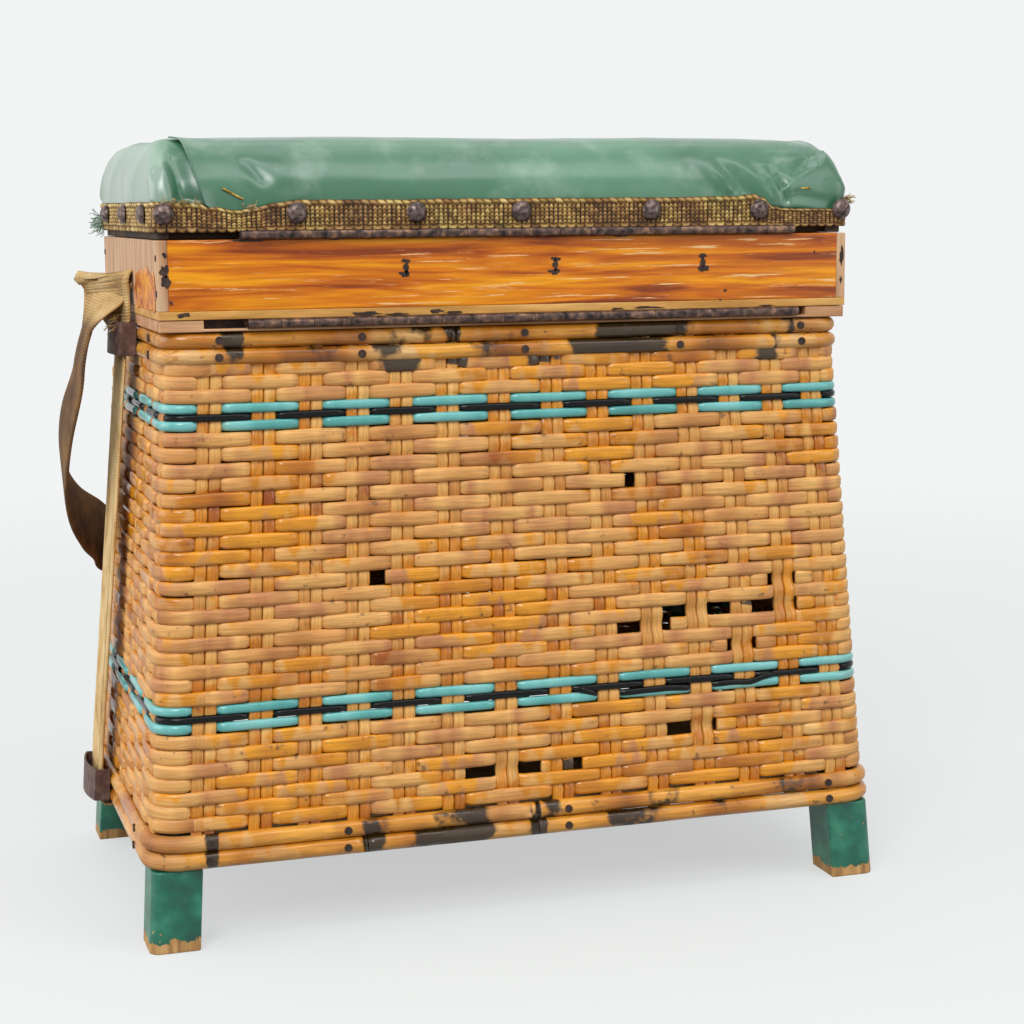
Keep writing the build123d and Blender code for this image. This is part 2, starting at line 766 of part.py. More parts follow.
def keeper(name, height, face, offset):
    """Left keeper and its mirror image at the right end."""
    with BuildPart() as left:
        with BuildSketch(keeper_plane(height, face, offset).offset(-keeper_height / 2)):
            for metal, mode in ((0.0, Mode.ADD), (keeper_metal, Mode.SUBTRACT)):
                side = keeper_half_width - metal
                with BuildLine():
                    Line((-side, 0), (-side, keeper_side - metal))
                    ThreePointArc(
                        (-side, keeper_side - metal),
                        (0, keeper_stand_off - metal),
                        (side, keeper_side - metal),
                    )
                    Line((side, keeper_side - metal), (side, 0))
                    Line((side, 0), (-side, 0))
                make_face(mode=mode)
            for side in (-1, 1):
                with Locations((side * (keeper_half_width - keeper_foot / 2), keeper_metal / 2)):
                    Rectangle(keeper_foot, keeper_metal)
        extrude(amount=keeper_height)
    finish(left, name + "_left")
    with BuildPart() as right:
        mirror(left.part, about=Plane.YZ)
    finish(right, name + "_right")


keeper("upper_keeper", upper_keeper_height, upper_hoop_face, 0)
keeper("lower_keeper", lower_keeper_height, lower_hoop_face, strap_lower_offset)

# Keeper nails: two through the feet of each keeper
with BuildPart() as keeper_nails:
    for height, face, offset in (
        (upper_keeper_height, upper_hoop_face, 0),
        (lower_keeper_height, lower_hoop_face, strap_lower_offset),
    ):
        for side in (-1, 1):
            place = side * (keeper_half_width - keeper_foot / 2)
            seat = keeper_plane(height, face, offset)
            with Locations(seat * Pos(place, keeper_metal, 0) * Rot(-90, 0, 0)):
                Cylinder(
                    keeper_nail_radius,
                    keeper_nail_height,
                    align=(Align.CENTER, Align.CENTER, Align.MIN),
                )
    mirror(about=Plane.YZ)
finish(keeper_nails, "keeper_nails")


def ribbon(stations):
    """Flat webbing through stations, each a point and the direction of its width."""
    with BuildPart() as band:
        for number, (point, across) in enumerate(stations):
            before = Vector(stations[max(number - 1, 0)][0])
            after = Vector(stations[min(number + 1, len(stations) - 1)][0])
            with BuildSketch(Plane(origin=point, x_dir=across, z_dir=after - before)):
                Rectangle(strap_width, strap_thickness)
        loft(ruled=True)
    return band.part


# Strap tails: taut from the lower keeper to the upper one, up to a fold at the crest
tail_foot = wall_bottom + strap_foot_rise
tail_foot_x = lower_hoop_face + strap_foot_stand_off
tail_rise_x = upper_hoop_face + strap_stand_off
tail_slack_start = lower_keeper_height + keeper_height / 2
tail_slack_end = upper_keeper_height - keeper_height / 2
fold_radius = strap_thickness / 2 + strap_fold_room
fold_height = strap_crest_height - fold_radius - strap_thickness / 2
lean = (0, 1, 0)
tail_stations = (
    ((-tail_foot_x, strap_lower_offset, tail_foot), lean),
    ((-tail_foot_x, strap_lower_offset, tail_slack_start), lean),
    ((-tail_rise_x, 0, tail_slack_end), lean),
    ((-tail_rise_x, 0, fold_height), lean),
)
with BuildPart() as strap_tail_left:
    add(ribbon(tail_stations))
    with BuildSketch(Plane.XZ.offset(-strap_width / 2)):
        with Locations((-tail_rise_x - fold_radius, fold_height)):
            Circle(fold_radius + strap_thickness / 2)
            Circle(fold_radius - strap_thickness / 2, mode=Mode.SUBTRACT)
            Rectangle(
                4 * strap_thickness,
                4 * strap_thickness,
                align=(Align.CENTER, Align.MAX),
                mode=Mode.SUBTRACT,
            )
    extrude(amount=strap_width)
finish(strap_tail_left, "strap_tail_left")
with BuildPart() as strap_tail_right:
    mirror(strap_tail_left.part, about=Plane.YZ)
finish(strap_tail_right, "strap_tail_right")

# Strap under the base: round the lowest hoop and straight across below the planks
under_height = wall_bottom - strap_thickness / 2 - strap_under_gap
turn_radius = tail_foot - under_height
turn_centre_x = tail_foot_x - turn_radius
with BuildPart() as strap_under:
    with BuildSketch(Plane.XZ.offset(-strap_lower_offset)):
        with Locations((0, under_height)):
            Rectangle(2 * turn_centre_x, strap_thickness)
        for side in (-1, 1):
            with Locations((side * turn_centre_x, tail_foot)):
                Circle(turn_radius + strap_thickness / 2)
        with Locations((0, tail_foot)):
            Rectangle(2 * turn_centre_x, 2 * turn_radius - strap_thickness, mode=Mode.SUBTRACT)
        for side in (-1, 1):
            with Locations((side * turn_centre_x, tail_foot)):
                Circle(turn_radius - strap_thickness / 2, mode=Mode.SUBTRACT)
        with Locations((0, tail_foot - seat_gap)):
            Rectangle(
                4 * tail_foot_x,
                4 * turn_radius,
                align=(Align.CENTER, Align.MIN),
                mode=Mode.SUBTRACT,
            )
    extrude(amount=strap_width / 2, both=True)
finish(strap_under, "strap_under")

# Strap loop: from the fold at each end down and round behind the basket
loop_start_x = tail_rise_x + 2 * fold_radius + strap_thickness + strap_fold_gap
loop_low_edge = strap_crest_height - loop_drop - strap_width / 2
loop_back_y = half_depth(loop_low_edge) + strap_thickness / 2 + loop_wall_gap
left_stations = []
right_stations = []
for outwards, back_share, drop_share, turn in loop_path:
    station_x = loop_start_x + outwards
    station_y = back_share * loop_back_y
    station_z = strap_crest_height - drop_share * loop_drop
    across = Vector(0, 1, 0).rotate(Axis.X, turn)
    left_stations.append(((-station_x, station_y, station_z), across))
    right_stations.insert(0, ((station_x, station_y, station_z), across))
with BuildPart() as strap_loop:
    add(ribbon(left_stations + right_stations))
finish(strap_loop, "strap_loop")


def hook_pin(face, place, height, rest, base_radius, shaft_radius):
    """Pin standing on a face: a base up to the hook, a shaft through it, a button."""
    seat = Plane(origin=(place, face, height), x_dir=(1, 0, 0), z_dir=(0, 1, 0))
    base_end = rest - hook_play - face
    shaft_end = base_end + hook_thickness + 2 * hook_play
    upwards = (Align.CENTER, Align.CENTER, Align.MIN)
    with BuildPart() as pin:
        with Locations(seat):
            Cylinder(base_radius, base_end, align=upwards)
            Cylinder(shaft_radius, shaft_end, align=upwards)
        with Locations(seat.offset(shaft_end)):
            Cylinder(hook_button_radius, hook_button_thickness, align=upwards)
    return pin


# Hooks: each hangs from a pivot on the lower part and swings up over a catch on the
# part above it
for hook_name, place, pivot_face, pivot_height, catch_face in (
    ("tray_hook", tray_hook_place, frame_half_depth, frame_middle, tray_face),
    ("lid_hook", lid_hook_place, tray_face, dome_nail_level - hook_reach, braid_face_y),
):
    rest = catch_face + hook_stand_off
    catch_height = pivot_height + hook_reach
    pivot = hook_pin(pivot_face, place, pivot_height, rest, hook_base_radius, hook_pin_radius)
    finish(pivot, hook_name + "_pivot")
    catch = hook_pin(catch_face, place, catch_height, rest, hook_catch_radius, hook_catch_radius)
    finish(catch, hook_name + "_catch")
    with BuildPart() as hook:
        with BuildSketch(Plane(origin=(place, rest, pivot_height), x_dir=(-1, 0, 0), z_dir=(0, 1, 0))):
            Circle(hook_eye_radius)
            with Locations((0, -hook_reach / 2)):
                Rectangle(hook_shank_width, hook_reach)
            with Locations((0, -hook_reach)):
                Rectangle(hook_head_size, hook_head_size)
                Circle(hook_slot_half_width, mode=Mode.SUBTRACT)
                Rectangle(
                    hook_head_size,
                    2 * hook_slot_half_width,
                    align=(Align.MIN, Align.CENTER),
                    mode=Mode.SUBTRACT,
                )
            Circle(hook_pin_radius + hook_pin_clearance, mode=Mode.SUBTRACT)
        extrude(amount=hook_thickness)
    finish(hook, hook_name)
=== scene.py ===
import math
import random
from functools import partial

import bmesh
import bpy
from mathutils import Matrix, Vector, noise
from mathutils.bvhtree import BVHTree
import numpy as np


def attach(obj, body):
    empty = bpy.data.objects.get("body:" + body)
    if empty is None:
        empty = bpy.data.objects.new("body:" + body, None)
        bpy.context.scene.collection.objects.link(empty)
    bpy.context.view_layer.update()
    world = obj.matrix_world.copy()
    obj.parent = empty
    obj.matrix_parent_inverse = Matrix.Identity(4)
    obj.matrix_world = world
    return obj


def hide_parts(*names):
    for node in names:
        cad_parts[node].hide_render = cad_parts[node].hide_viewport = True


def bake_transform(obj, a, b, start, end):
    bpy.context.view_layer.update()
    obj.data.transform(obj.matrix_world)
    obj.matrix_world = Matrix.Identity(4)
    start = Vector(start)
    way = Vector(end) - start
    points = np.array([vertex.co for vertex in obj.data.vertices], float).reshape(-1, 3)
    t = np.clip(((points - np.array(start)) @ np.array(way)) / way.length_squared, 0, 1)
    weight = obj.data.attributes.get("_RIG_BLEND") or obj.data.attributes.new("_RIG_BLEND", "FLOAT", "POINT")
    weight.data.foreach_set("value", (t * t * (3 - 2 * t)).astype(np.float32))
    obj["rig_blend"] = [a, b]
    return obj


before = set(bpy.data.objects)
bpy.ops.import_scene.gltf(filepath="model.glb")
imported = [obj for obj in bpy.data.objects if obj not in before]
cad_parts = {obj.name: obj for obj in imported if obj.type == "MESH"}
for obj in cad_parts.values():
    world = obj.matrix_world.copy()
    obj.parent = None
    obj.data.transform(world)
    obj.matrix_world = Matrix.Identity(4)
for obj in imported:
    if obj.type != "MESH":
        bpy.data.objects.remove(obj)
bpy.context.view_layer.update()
MM = 0.001
FULL_TURN = 2 * math.pi
UP = Vector((0, 0, 1))

# Woven wall: it tapers from the base to the rim. Metres.
WALL_LOW, WALL_HIGH = 0.045, 0.3345
HALF_LENGTHS = (0.2163, 0.1973)
HALF_DEPTHS = (0.1241, 0.1059)
CORNERS = (0.018, 0.014)
MEASURED_AT = 0.185

# Places of the stake pairs along each side at MEASURED_AT, mm from the middle
HINGE_SIDE = (-180, -149.6, -122.7, -95.9, -70.4, -42.8, -11.9,
              20.2, 48.5, 76.7, 105.3, 132.4, 160.5, 186.4)
END_SIDE = (-98, -70.5, -42, -14, 14, 42, 70.5, 98)
OPENING_SIDE = (-184, -155.7, -127.4, -99, -70.7, -42.4, -14.1,
                14.1, 42.4, 70.7, 99, 127.4, 155.7, 184)

# Weft rows from the rim down: height in mm and cane
ROWS = ((314.2, "n"), (307.3, "n"), (299.9, "n"), (293.4, "b"), (288.9, "k"), (284.2, "b"),
        (276.9, "n"), (268.6, "n"), (260.2, "n"), (252.6, "n"), (244.6, "n"), (236.6, "n"),
        (229.1, "n"), (221.4, "n"), (213.6, "n"), (205.8, "n"), (197.6, "n"), (189.6, "n"),
        (182.0, "n"), (174.6, "n"), (167.0, "n"), (159.6, "n"), (152.4, "n"), (145.2, "n"),
        (137.8, "n"), (131.4, "b"), (126.6, "k"), (121.8, "b"), (114.3, "n"), (106.4, "n"),
        (98.8, "n"), (91.2, "n"), (83.6, "n"), (76.4, "n"), (69.4, "n"))

# Breaks in the weave: row, middle in mm along the hinge side, length in mm
BREAKS = ((10, 68, 7), (16, -85, 8), (18, 158.5, 16), (20, 105, 45), (20, 153.5, 29),
          (21, 69.5, 32), (23, 131.5, 15), (30, 98, 30), (32, -15, 42), (32, 28, 5))


def linear(code):
    """Linear colour from an sRGB hex code."""
    parts = [int(code[i:i + 2], 16) / 255 for i in (1, 3, 5)]
    return [p / 12.92 if p <= 0.04045 else ((p + 0.055) / 1.055) ** 2.4 for p in parts] + [1.0]


def fill(node, inputs):
    """Fills a node's inputs: a socket is linked, any other value is put in."""
    for socket, value in inputs.items():
        if isinstance(value, bpy.types.NodeSocket):
            node.id_data.links.new(value, node.inputs[socket])
        else:
            node.inputs[socket].default_value = value


def add_node(tree, kind, inputs=None, stops=None, out=0, **settings):
    """Adds one shader node with its settings, inputs and ramp stops, and gives its output."""
    made = tree.nodes.new("ShaderNode" + kind)
    for name, value in settings.items():
        setattr(made, name, value)
    fill(made, inputs or {})
    if stops:
        while len(made.color_ramp.elements) < len(stops):
            made.color_ramp.elements.new(0.5)
        for element, (place, code) in zip(made.color_ramp.elements, stops):
            element.position = place
            element.color = linear(code)
    return made.outputs[out]


def new_material(name, roughness, metallic=0.0):
    """A material, its shader, its Object coordinates, and add_node bound to its tree."""
    material = bpy.data.materials.new(name)
    material.use_nodes = True
    shader = material.node_tree.nodes["Principled BSDF"]
    fill(shader, {"Roughness": roughness, "Metallic": metallic})
    node = partial(add_node, material.node_tree)
    return material, shader, node("TexCoord", out="Object"), node


# What a Mix node needs to mix colours
COLOUR_MIX = {"data_type": "RGBA", "out": 2}


def smooth(low, high, value):
    """Smooth step from 0 at low to 1 at high."""
    t = min(max((value - low) / (high - low), 0.0), 1.0)
    return t * t * (3 - 2 * t)


def drift(place, seed):
    """Slow random drift between -1 and 1 along a line."""
    return noise.noise(Vector((place, seed * 7.31, seed * 3.17)))


def mesh_object(name, bm, material):
    """Turns a bmesh into an object of one material."""
    mesh = bpy.data.meshes.new(name)
    bm.to_mesh(mesh)
    bm.free()
    mesh.materials.append(material)
    made = bpy.data.objects.new(name, mesh)
    bpy.context.scene.collection.objects.link(made)
    return made


def finish_piece(name, bm, material, body, replaced=(), flat=False):
    """Turns a bmesh into a named piece that rides on a body."""
    bmesh.ops.recalc_face_normals(bm, faces=bm.faces)
    piece = mesh_object(name, bm, material)
    for polygon in piece.data.polygons:
        polygon.use_smooth = not flat
    if body:
        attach(piece, body)
    if replaced:
        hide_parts(*replaced)
    return piece


# What each vertex of a strand carries for the materials: metres along it, share of the way
# round it, the strand's own number and its darkening: dirt, and painted shade on the folded webbing
LAYERS = ("along", "around", "grain", "stain")


def add_strand(bm, stations, sides=8, closed=False, grain=0.0, square=2.3):
    """Sweeps a grid round stations, each (middle, outward half, upward half, stain)."""
    columns = len(stations) if closed else len(stations) - 1
    made = bmesh.ops.create_grid(bm, x_segments=columns, y_segments=sides, size=0.5)["verts"]
    layers = [bm.verts.layers.float[name] for name in LAYERS]
    reach = [0.0]
    for here, there in zip(stations, stations[1:]):
        reach.append(reach[-1] + (there[0] - here[0]).length)
    if closed:
        reach.append(reach[-1] + (stations[0][0] - stations[-1][0]).length)
    power = 2 / square
    ring = []
    for side in range(sides + 1):
        angle = FULL_TURN * (side + 0.5) / sides + math.pi
        c, s = math.cos(angle), math.sin(angle)
        ring.append((math.copysign(abs(c) ** power, c), math.copysign(abs(s) ** power, s)))
    wide, high = stations[0][1].length, stations[0][2].length
    turned = [0.0]
    for (c0, s0), (c1, s1) in zip(ring, ring[1:]):
        turned.append(turned[-1] + math.hypot((c1 - c0) * wide, (s1 - s0) * high))
    for vert in made:
        column = round((vert.co.x + 0.5) * columns)
        side = round((vert.co.y + 0.5) * sides)
        middle, outward, upward, stain = stations[column % len(stations)]
        c, s = ring[side]
        vert.co = middle + outward * c + upward * s
        for layer, value in zip(layers, (reach[column], turned[side] / turned[-1], grain, stain)):
            vert[layer] = value


def new_strands():
    """An empty bmesh with the layers of strands."""
    bm = bmesh.new()
    for name in LAYERS:
        bm.verts.layers.float.new(name)
    return bm


def close_strands(bm):
    """Merges the seam along each strand and closes its two ends."""
    bmesh.ops.remove_doubles(bm, verts=bm.verts, dist=1e-6)
    rims = [e for e in bm.edges if e.is_boundary]
    if rims:
        bmesh.ops.holes_fill(bm, edges=rims, sides=0)
    return bm


# The wall's outline, walked side by side: u runs 0 to 1 on the hinge side, 1 to 2 on
# the right end, 2 to 3 on the opening side and 3 to 4 on the left end
def wall_size(z):
    t = (z - WALL_LOW) / (WALL_HIGH - WALL_LOW)
    return [low + (high - low) * t for low, high in (HALF_LENGTHS, HALF_DEPTHS, CORNERS)]


def side_run(side, z):
    """Straight half, corner quarter and face distance of one side at a height."""
    length, depth, corner = wall_size(z)
    half, face = (length, depth) if side % 2 == 0 else (depth, length)
    return half - corner, corner * math.pi / 4, face - corner, corner


def wall_spot(u, z, out=0.0):
    """Point on the wall's outline moved out along its normal, and that normal."""
    side = int(math.floor(u)) % 4
    straight, arc, face, corner = side_run(side, z)
    run = (u - math.floor(u)) * 2 * (straight + arc)
    if run < arc:
        angle = run / corner - math.pi / 4
        across = -straight + corner * math.sin(angle)
    elif run < arc + 2 * straight:
        angle = 0.0
        across = run - arc - straight
    else:
        angle = (run - arc - 2 * straight) / corner
        across = straight + corner * math.sin(angle)
    away = face + corner * math.cos(angle)
    turn = Matrix.Rotation(side * math.pi / 2, 3, "Z")
    normal = turn @ Vector((math.sin(angle), -math.cos(angle), 0))
    return turn @ Vector((across, -away, z)) + normal * out, normal


def side_share(side, place):
    """u of a place in mm along a side, measured at MEASURED_AT."""
    straight, arc, _, _ = side_run(side, MEASURED_AT)
    return side + (place * MM + straight + arc) / (2 * (straight + arc))


STAKES = [side_share(side, place)
          for side, places in enumerate((HINGE_SIDE, END_SIDE, OPENING_SIDE, END_SIDE))
          for place in places]
STAKE_COUNT = len(STAKES)


def stake_gap(k):
    """Distance in u from stake k to the next one."""
    return STAKES[(k + 1) % STAKE_COUNT] + (4 if k == STAKE_COUNT - 1 else 0) - STAKES[k]


# Radial places in the weave: floats lie outside, and dive behind every second stake
# between these two distances from it
FLOAT_OUT, DIVE_OUT, STAKE_OUT = -1.9 * MM, -6.3 * MM, -4.0 * MM
DIVE_NEAR, DIVE_FAR = 4.6 * MM, 9.2 * MM
# Stations of a weft from one stake to the next
STEPS = 10

# Dark stains on the weave: middle along the hinge side, height, half length, half height
STAINS = ((-68, 316, 18, 6), (-35, 316, 8, 5), (14, 316, 16, 6), (150, 317, 12, 6),
          (-128, 318, 10, 4), (22, 83, 6, 5), (140, 170, 8, 3), (68, 243, 5, 4))


def stain_at(place, height):
    """Strength of the dark stains at a place in mm on the hinge side."""
    level = 0.0
    for across, up, half, rise in STAINS:
        level = max(level, 1.25 - math.hypot((place - across) / half, (height - up) / rise))
    return max(level, 0.0)


def weft_stations(row, z, half_out, half_up, seed):
    """Stations of one weft row all round the basket, with each one's u."""
    found = []
    for k in range(STAKE_COUNT):
        for step in range(STEPS):
            f = step / STEPS
            u = STAKES[k] + stake_gap(k) * f
            straight, arc, _, _ = side_run(int(u) % 4, z)
            under = (k + row) % 2 == 1
            reach = (f if under else 1 - f) * stake_gap(k) * 2 * (straight + arc)
            s = smooth(DIVE_NEAR, DIVE_FAR, reach)
            # A cane wanders by up to 0.25 mm in and out and 0.6 mm up and down
            out = DIVE_OUT + (FLOAT_OUT - DIVE_OUT) * s + 0.25 * MM * drift(u * 9, seed)
            height = z + 0.6 * MM * drift(u * 6.5, seed + 3)
            middle, normal = wall_spot(u, height, out)
            swell = 0.93 + 0.07 * smooth(6 * MM, 13 * MM, reach) + 0.1 * drift(u * 11, seed + 5)
            stain = stain_at(middle.x / MM, z / MM) if int(u) % 4 == 0 else 0.0
            found.append((u % 4, (middle, normal * half_out, UP * half_up * swell, stain)))
    return found


def row_breaks(row):
    """Broken stretches of a row as (start, end) in u."""
    straight, arc, _, _ = side_run(0, MEASURED_AT)
    whole = 2 * (straight + arc) / MM
    return sorted((side_share(0, place) - width / 2 / whole, side_share(0, place) + width / 2 / whole)
                  for number, place, width in BREAKS if number == row)


def between(found, start, end):
    """The stations between two places in u, in order. The end may lie past 4."""
    kept = [(u if u > start else u + 4, station) for u, station in found]
    return [station for u, station in sorted(kept, key=lambda pair: pair[0]) if start < u < end]


def add_weft(bm, row, z, half_out, half_up, square, seed):
    """One weft row: a closed ring, or open canes between its breaks."""
    found = weft_stations(row, z, half_out, half_up, seed)
    gaps = row_breaks(row)
    if not gaps:
        whole = [station for _, station in found]
        add_strand(bm, whole, sides=10, closed=True, grain=seed % 1.0, square=square)
    for number, gap in enumerate(gaps):
        start, end = gap[1], gaps[(number + 1) % len(gaps)][0]
        end += 4 if end < start else 0
        run = between(found, start, end)
        if len(run) > 1:
            add_strand(bm, run, sides=10, grain=seed % 1.0, square=square)


random.seed(7)
row_seeds = [random.uniform(0, 60) for _ in ROWS]


# Materials. Peeled willow cane, once varnished: straw to pinkish tan where the varnish
# has gone, glossy orange where it holds, in patches with jagged ends
def cane_material(name, bare, coated, coat_level, dirt):
    material, shader, body, node = new_material(name, 0.5)
    along, around, grain, stain = (node("Attribute", attribute_name=name, out="Fac") for name in LAYERS)
    # 22 per metre puts a patch of varnish at about 45 mm
    place = node("CombineXYZ", {0: along, 1: grain})
    patch = node("TexNoise", {"Vector": place, "Scale": 22.0, "Detail": 4.0})
    zone = node("TexNoise", {"Vector": body, "Scale": 11.0})
    teeth = node("Math", {0: along, 1: 0.0055}, operation="PINGPONG")
    teeth = node("Math", {0: teeth, 1: 14.0}, operation="MULTIPLY")
    side = node("Math", {0: around, 1: 0.22}, operation="MULTIPLY")
    mask = patch
    for part in (teeth, zone, side):
        mask = node("Math", {0: mask, 1: part}, operation="ADD")
    mask = node("MapRange", {0: mask, 1: coat_level, 2: coat_level + 0.06})
    # Long fibres, about 1.2 mm apart round the cane and some 17 mm long
    fibre_at = node("CombineXYZ", {0: along, 1: around, 2: grain})
    fibre_map = node("Mapping", {"Vector": fibre_at, "Scale": (30, 9, 50)})
    fibre = node("TexNoise", {"Vector": fibre_map, "Scale": 2.0, "Detail": 5.0})
    tone = node("TexNoise", {"Vector": place, "Scale": 15.0, "Detail": 3.0})
    raw = node("ValToRGB", {0: tone}, stops=bare)
    lacquer = node("ValToRGB", {0: tone}, stops=coated)
    both = node("Mix", {0: mask, 6: raw, 7: lacquer}, **COLOUR_MIX)
    dark = node("MapRange", {0: fibre, 1: 0.3, 2: 0.7, 3: 0.7, 4: 1.12})
    shade = node("Mix", {0: 1.0, 6: both, 7: dark}, **COLOUR_MIX, blend_type="MULTIPLY")
    speck = node("TexNoise", {"Vector": body, "Scale": 170.0, "Detail": 3.0})
    speck = node("MapRange", {0: speck, 1: 0.66, 2: 0.74, 3: 0.0, 4: dirt})
    last = node("Mix", {0: speck, 6: shade, 7: linear("#5c3a1c")}, **COLOUR_MIX)
    blot = node("TexNoise", {"Vector": body, "Scale": 95.0, "Detail": 5.0})
    for part in (stain, side):
        blot = node("Math", {0: blot, 1: part}, operation="ADD")
    blot = node("MapRange", {0: blot, 1: 1.08, 2: 1.24, 3: 0.0, 4: 0.95})
    last = node("Mix", {0: blot, 6: last, 7: linear("#181209")}, **COLOUR_MIX)
    gloss = node("MapRange", {0: mask, 3: 0.55, 4: 0.24})
    bump = node("Bump", {"Strength": 0.35, "Distance": 0.0004, "Height": fibre})
    fill(shader, {"Base Color": last, "Roughness": gloss, "Normal": bump})
    return material


weft_cane = cane_material(
    "peeled_willow_varnish_worn",
    ((0.28, "#9a5c2c"), (0.4, "#cd8f4c"), (0.5, "#dda65e"), (0.57, "#b87848"), (0.66, "#dfaa5e"),
     (0.76, "#e6bb7c")),
    ((0.3, "#9c500a"), (0.42, "#cb7f14"), (0.54, "#e0951c"), (0.7, "#b06812")), 1.18, 0.7)
stake_cane = cane_material(
    "split_willow_stakes",
    ((0.3, "#b87834"), (0.5, "#d2964a"), (0.7, "#e3ae62")),
    ((0.3, "#944608"), (0.42, "#c07012"), (0.6, "#d98d22")), 1.12, 0.7)


# Dyed and lacquered cane: even colour that has gone patchy, a soft gloss
def dyed_material(name, codes, roughness, gloss):
    material, shader, body, node = new_material(name, roughness)
    along, grain = (node("Attribute", attribute_name=name, out="Fac") for name in ("along", "grain"))
    place = node("CombineXYZ", {0: along, 1: grain})
    tone = node("TexNoise", {"Vector": place, "Scale": 26.0, "Detail": 6.0})
    colour = node("ValToRGB", {0: tone}, stops=codes)
    chip = node("TexNoise", {"Vector": body, "Scale": 260.0, "Detail": 4.0})
    bump = node("Bump", {"Strength": 0.15, "Distance": 0.0005, "Height": chip})
    fill(shader, {"Base Color": colour, "Normal": bump, "Specular IOR Level": gloss})
    return material


blue_cane = dyed_material(
    "turquoise_lacquered_cane",
    ((0.25, "#3f8480"), (0.45, "#55a19d"), (0.6, "#74b6b3"), (0.75, "#7ea895")), 0.2, 0.5)
black_cane = dyed_material(
    "black_lacquered_cane", ((0.3, "#050506"), (0.6, "#0a0a0c"), (0.8, "#1c1917")), 0.2, 0.22)

# Weave: natural wefts in two pieces, coloured rows, and the stakes
# (half thickness, half height, squareness of the section)
NATURAL_CANE = (2.0 * MM, 4.0 * MM, 3.0)
BLUE_CANE = (2.0 * MM, 2.75 * MM, 2.3)
BLACK_CANE = (1.9 * MM, 2.1 * MM, 2.2)
for name, first, last in (("weft_upper", 0, 18), ("weft_lower", 18, 35)):
    bm = new_strands()
    for row in range(first, last):
        z, cane = ROWS[row]
        if cane == "n":
            add_weft(bm, row, z * MM, *NATURAL_CANE, row_seeds[row])
    finish_piece(name, close_strands(bm), weft_cane, "basket",
                 ("wicker_walls",) if first == 0 else ())
for name, rows, half, material, slot in (
        ("upper_blue_weft", (3, 5), BLUE_CANE, blue_cane, "blue_cane"),
        ("upper_black_weft", (4,), BLACK_CANE, black_cane, "black_cane"),
        ("lower_blue_weft", (25, 27), BLUE_CANE, blue_cane, "blue_cane"),
        ("lower_black_weft", (26,), BLACK_CANE, black_cane, "black_cane")):
    bm = new_strands()
    for row in rows:
        add_weft(bm, row, ROWS[row][0] * MM, *half, row_seeds[row])
    if name == "lower_black_weft":
        # A second black cane is twined below the first on the right
        found = weft_stations(27, 0.1262, *BLACK_CANE[:2], 4.0)
        start, end = side_share(0, 30), side_share(0, 150)
        run = []
        for u, (middle, outward, upward, stain) in found:
            if start < u < end:
                t = (u - start) / (end - start)
                sink = UP * (3.6 + 0.9 * drift(u * 25, 3)) * MM * smooth(0.0, 0.12, t) * smooth(1.0, 0.86, t)
                run.append((middle - sink + outward.normalized() * 0.9 * MM, outward, upward, stain))
        add_strand(bm, run, sides=10, grain=0.4, square=2.2)
    finish_piece(name, close_strands(bm), material, "basket",
                 (name.replace("weft", "cane" if "black" in name else "canes"),))

# Stakes: half thickness and half width, half the distance in a pair, how far they bow,
# their two ends in metres and their stations
STAKE_HALF = (1.75 * MM, 3.3 * MM)
STAKE_SPREAD = 3.42 * MM
STAKE_BULGE = 1.5 * MM
STAKE_FOOT, STAKE_TOP = 0.0465, 0.3335
STAKE_STATIONS = 76


def stake_bulge(k, z):
    """How far a stake bows out past the wefts behind it, or in behind floats."""
    heights = [row[0] * MM for row in ROWS]
    if z >= heights[0] or z <= heights[-1]:
        return 0.0
    for row, (above, below) in enumerate(zip(heights, heights[1:])):
        if below <= z <= above:
            t = (above - z) / (above - below)
            first = 1 if (k + row) % 2 else -1
            return STAKE_BULGE * first * math.cos(math.pi * t)
    return 0.0


bm = new_strands()
for k, u in enumerate(STAKES):
    for side in (-1, 1):
        seed = k * 2.7 + side
        stations = []
        for number in range(STAKE_STATIONS):
            z = STAKE_FOOT + number * (STAKE_TOP - STAKE_FOOT) / (STAKE_STATIONS - 1)
            straight, arc, _, _ = side_run(int(u) % 4, z)
            whole = 2 * (straight + arc)
            shift = side * STAKE_SPREAD + 0.15 * MM * drift(z * 14, seed) + 0.5 * MM * drift(z * 9, k)
            middle, normal = wall_spot(u + shift / whole, z, STAKE_OUT + stake_bulge(k, z))
            across = UP.cross(normal)
            wide = STAKE_HALF[1] * (1 + 0.04 * drift(z * 20, seed + 2))
            stain = stain_at(middle.x / MM, z / MM) if int(u) % 4 == 0 else 0.0
            stations.append((middle, normal * STAKE_HALF[0], across * wide, stain))
        add_strand(bm, stations, sides=8, grain=(seed * 0.37) % 1.0, square=4.0)
finish_piece("stakes", close_strands(bm), stake_cane, "basket")

# Rim hoops: thick canes in pairs, dirty where hands and ground rub them
rim_cane = cane_material(
    "thick_peeled_cane",
    ((0.32, "#6a3b18"), (0.42, "#a86a30"), (0.52, "#cf9854"), (0.68, "#e0b478")),
    ((0.32, "#6f3a0a"), (0.43, "#b36c18"), (0.58, "#dd9a38")), 1.08, 0.9)

# Stations of a hoop on each side, and how far its outer face lies inside the wall's
# outline, mm
HOOP_STEPS = 70
HOOP_INSET = 6.55
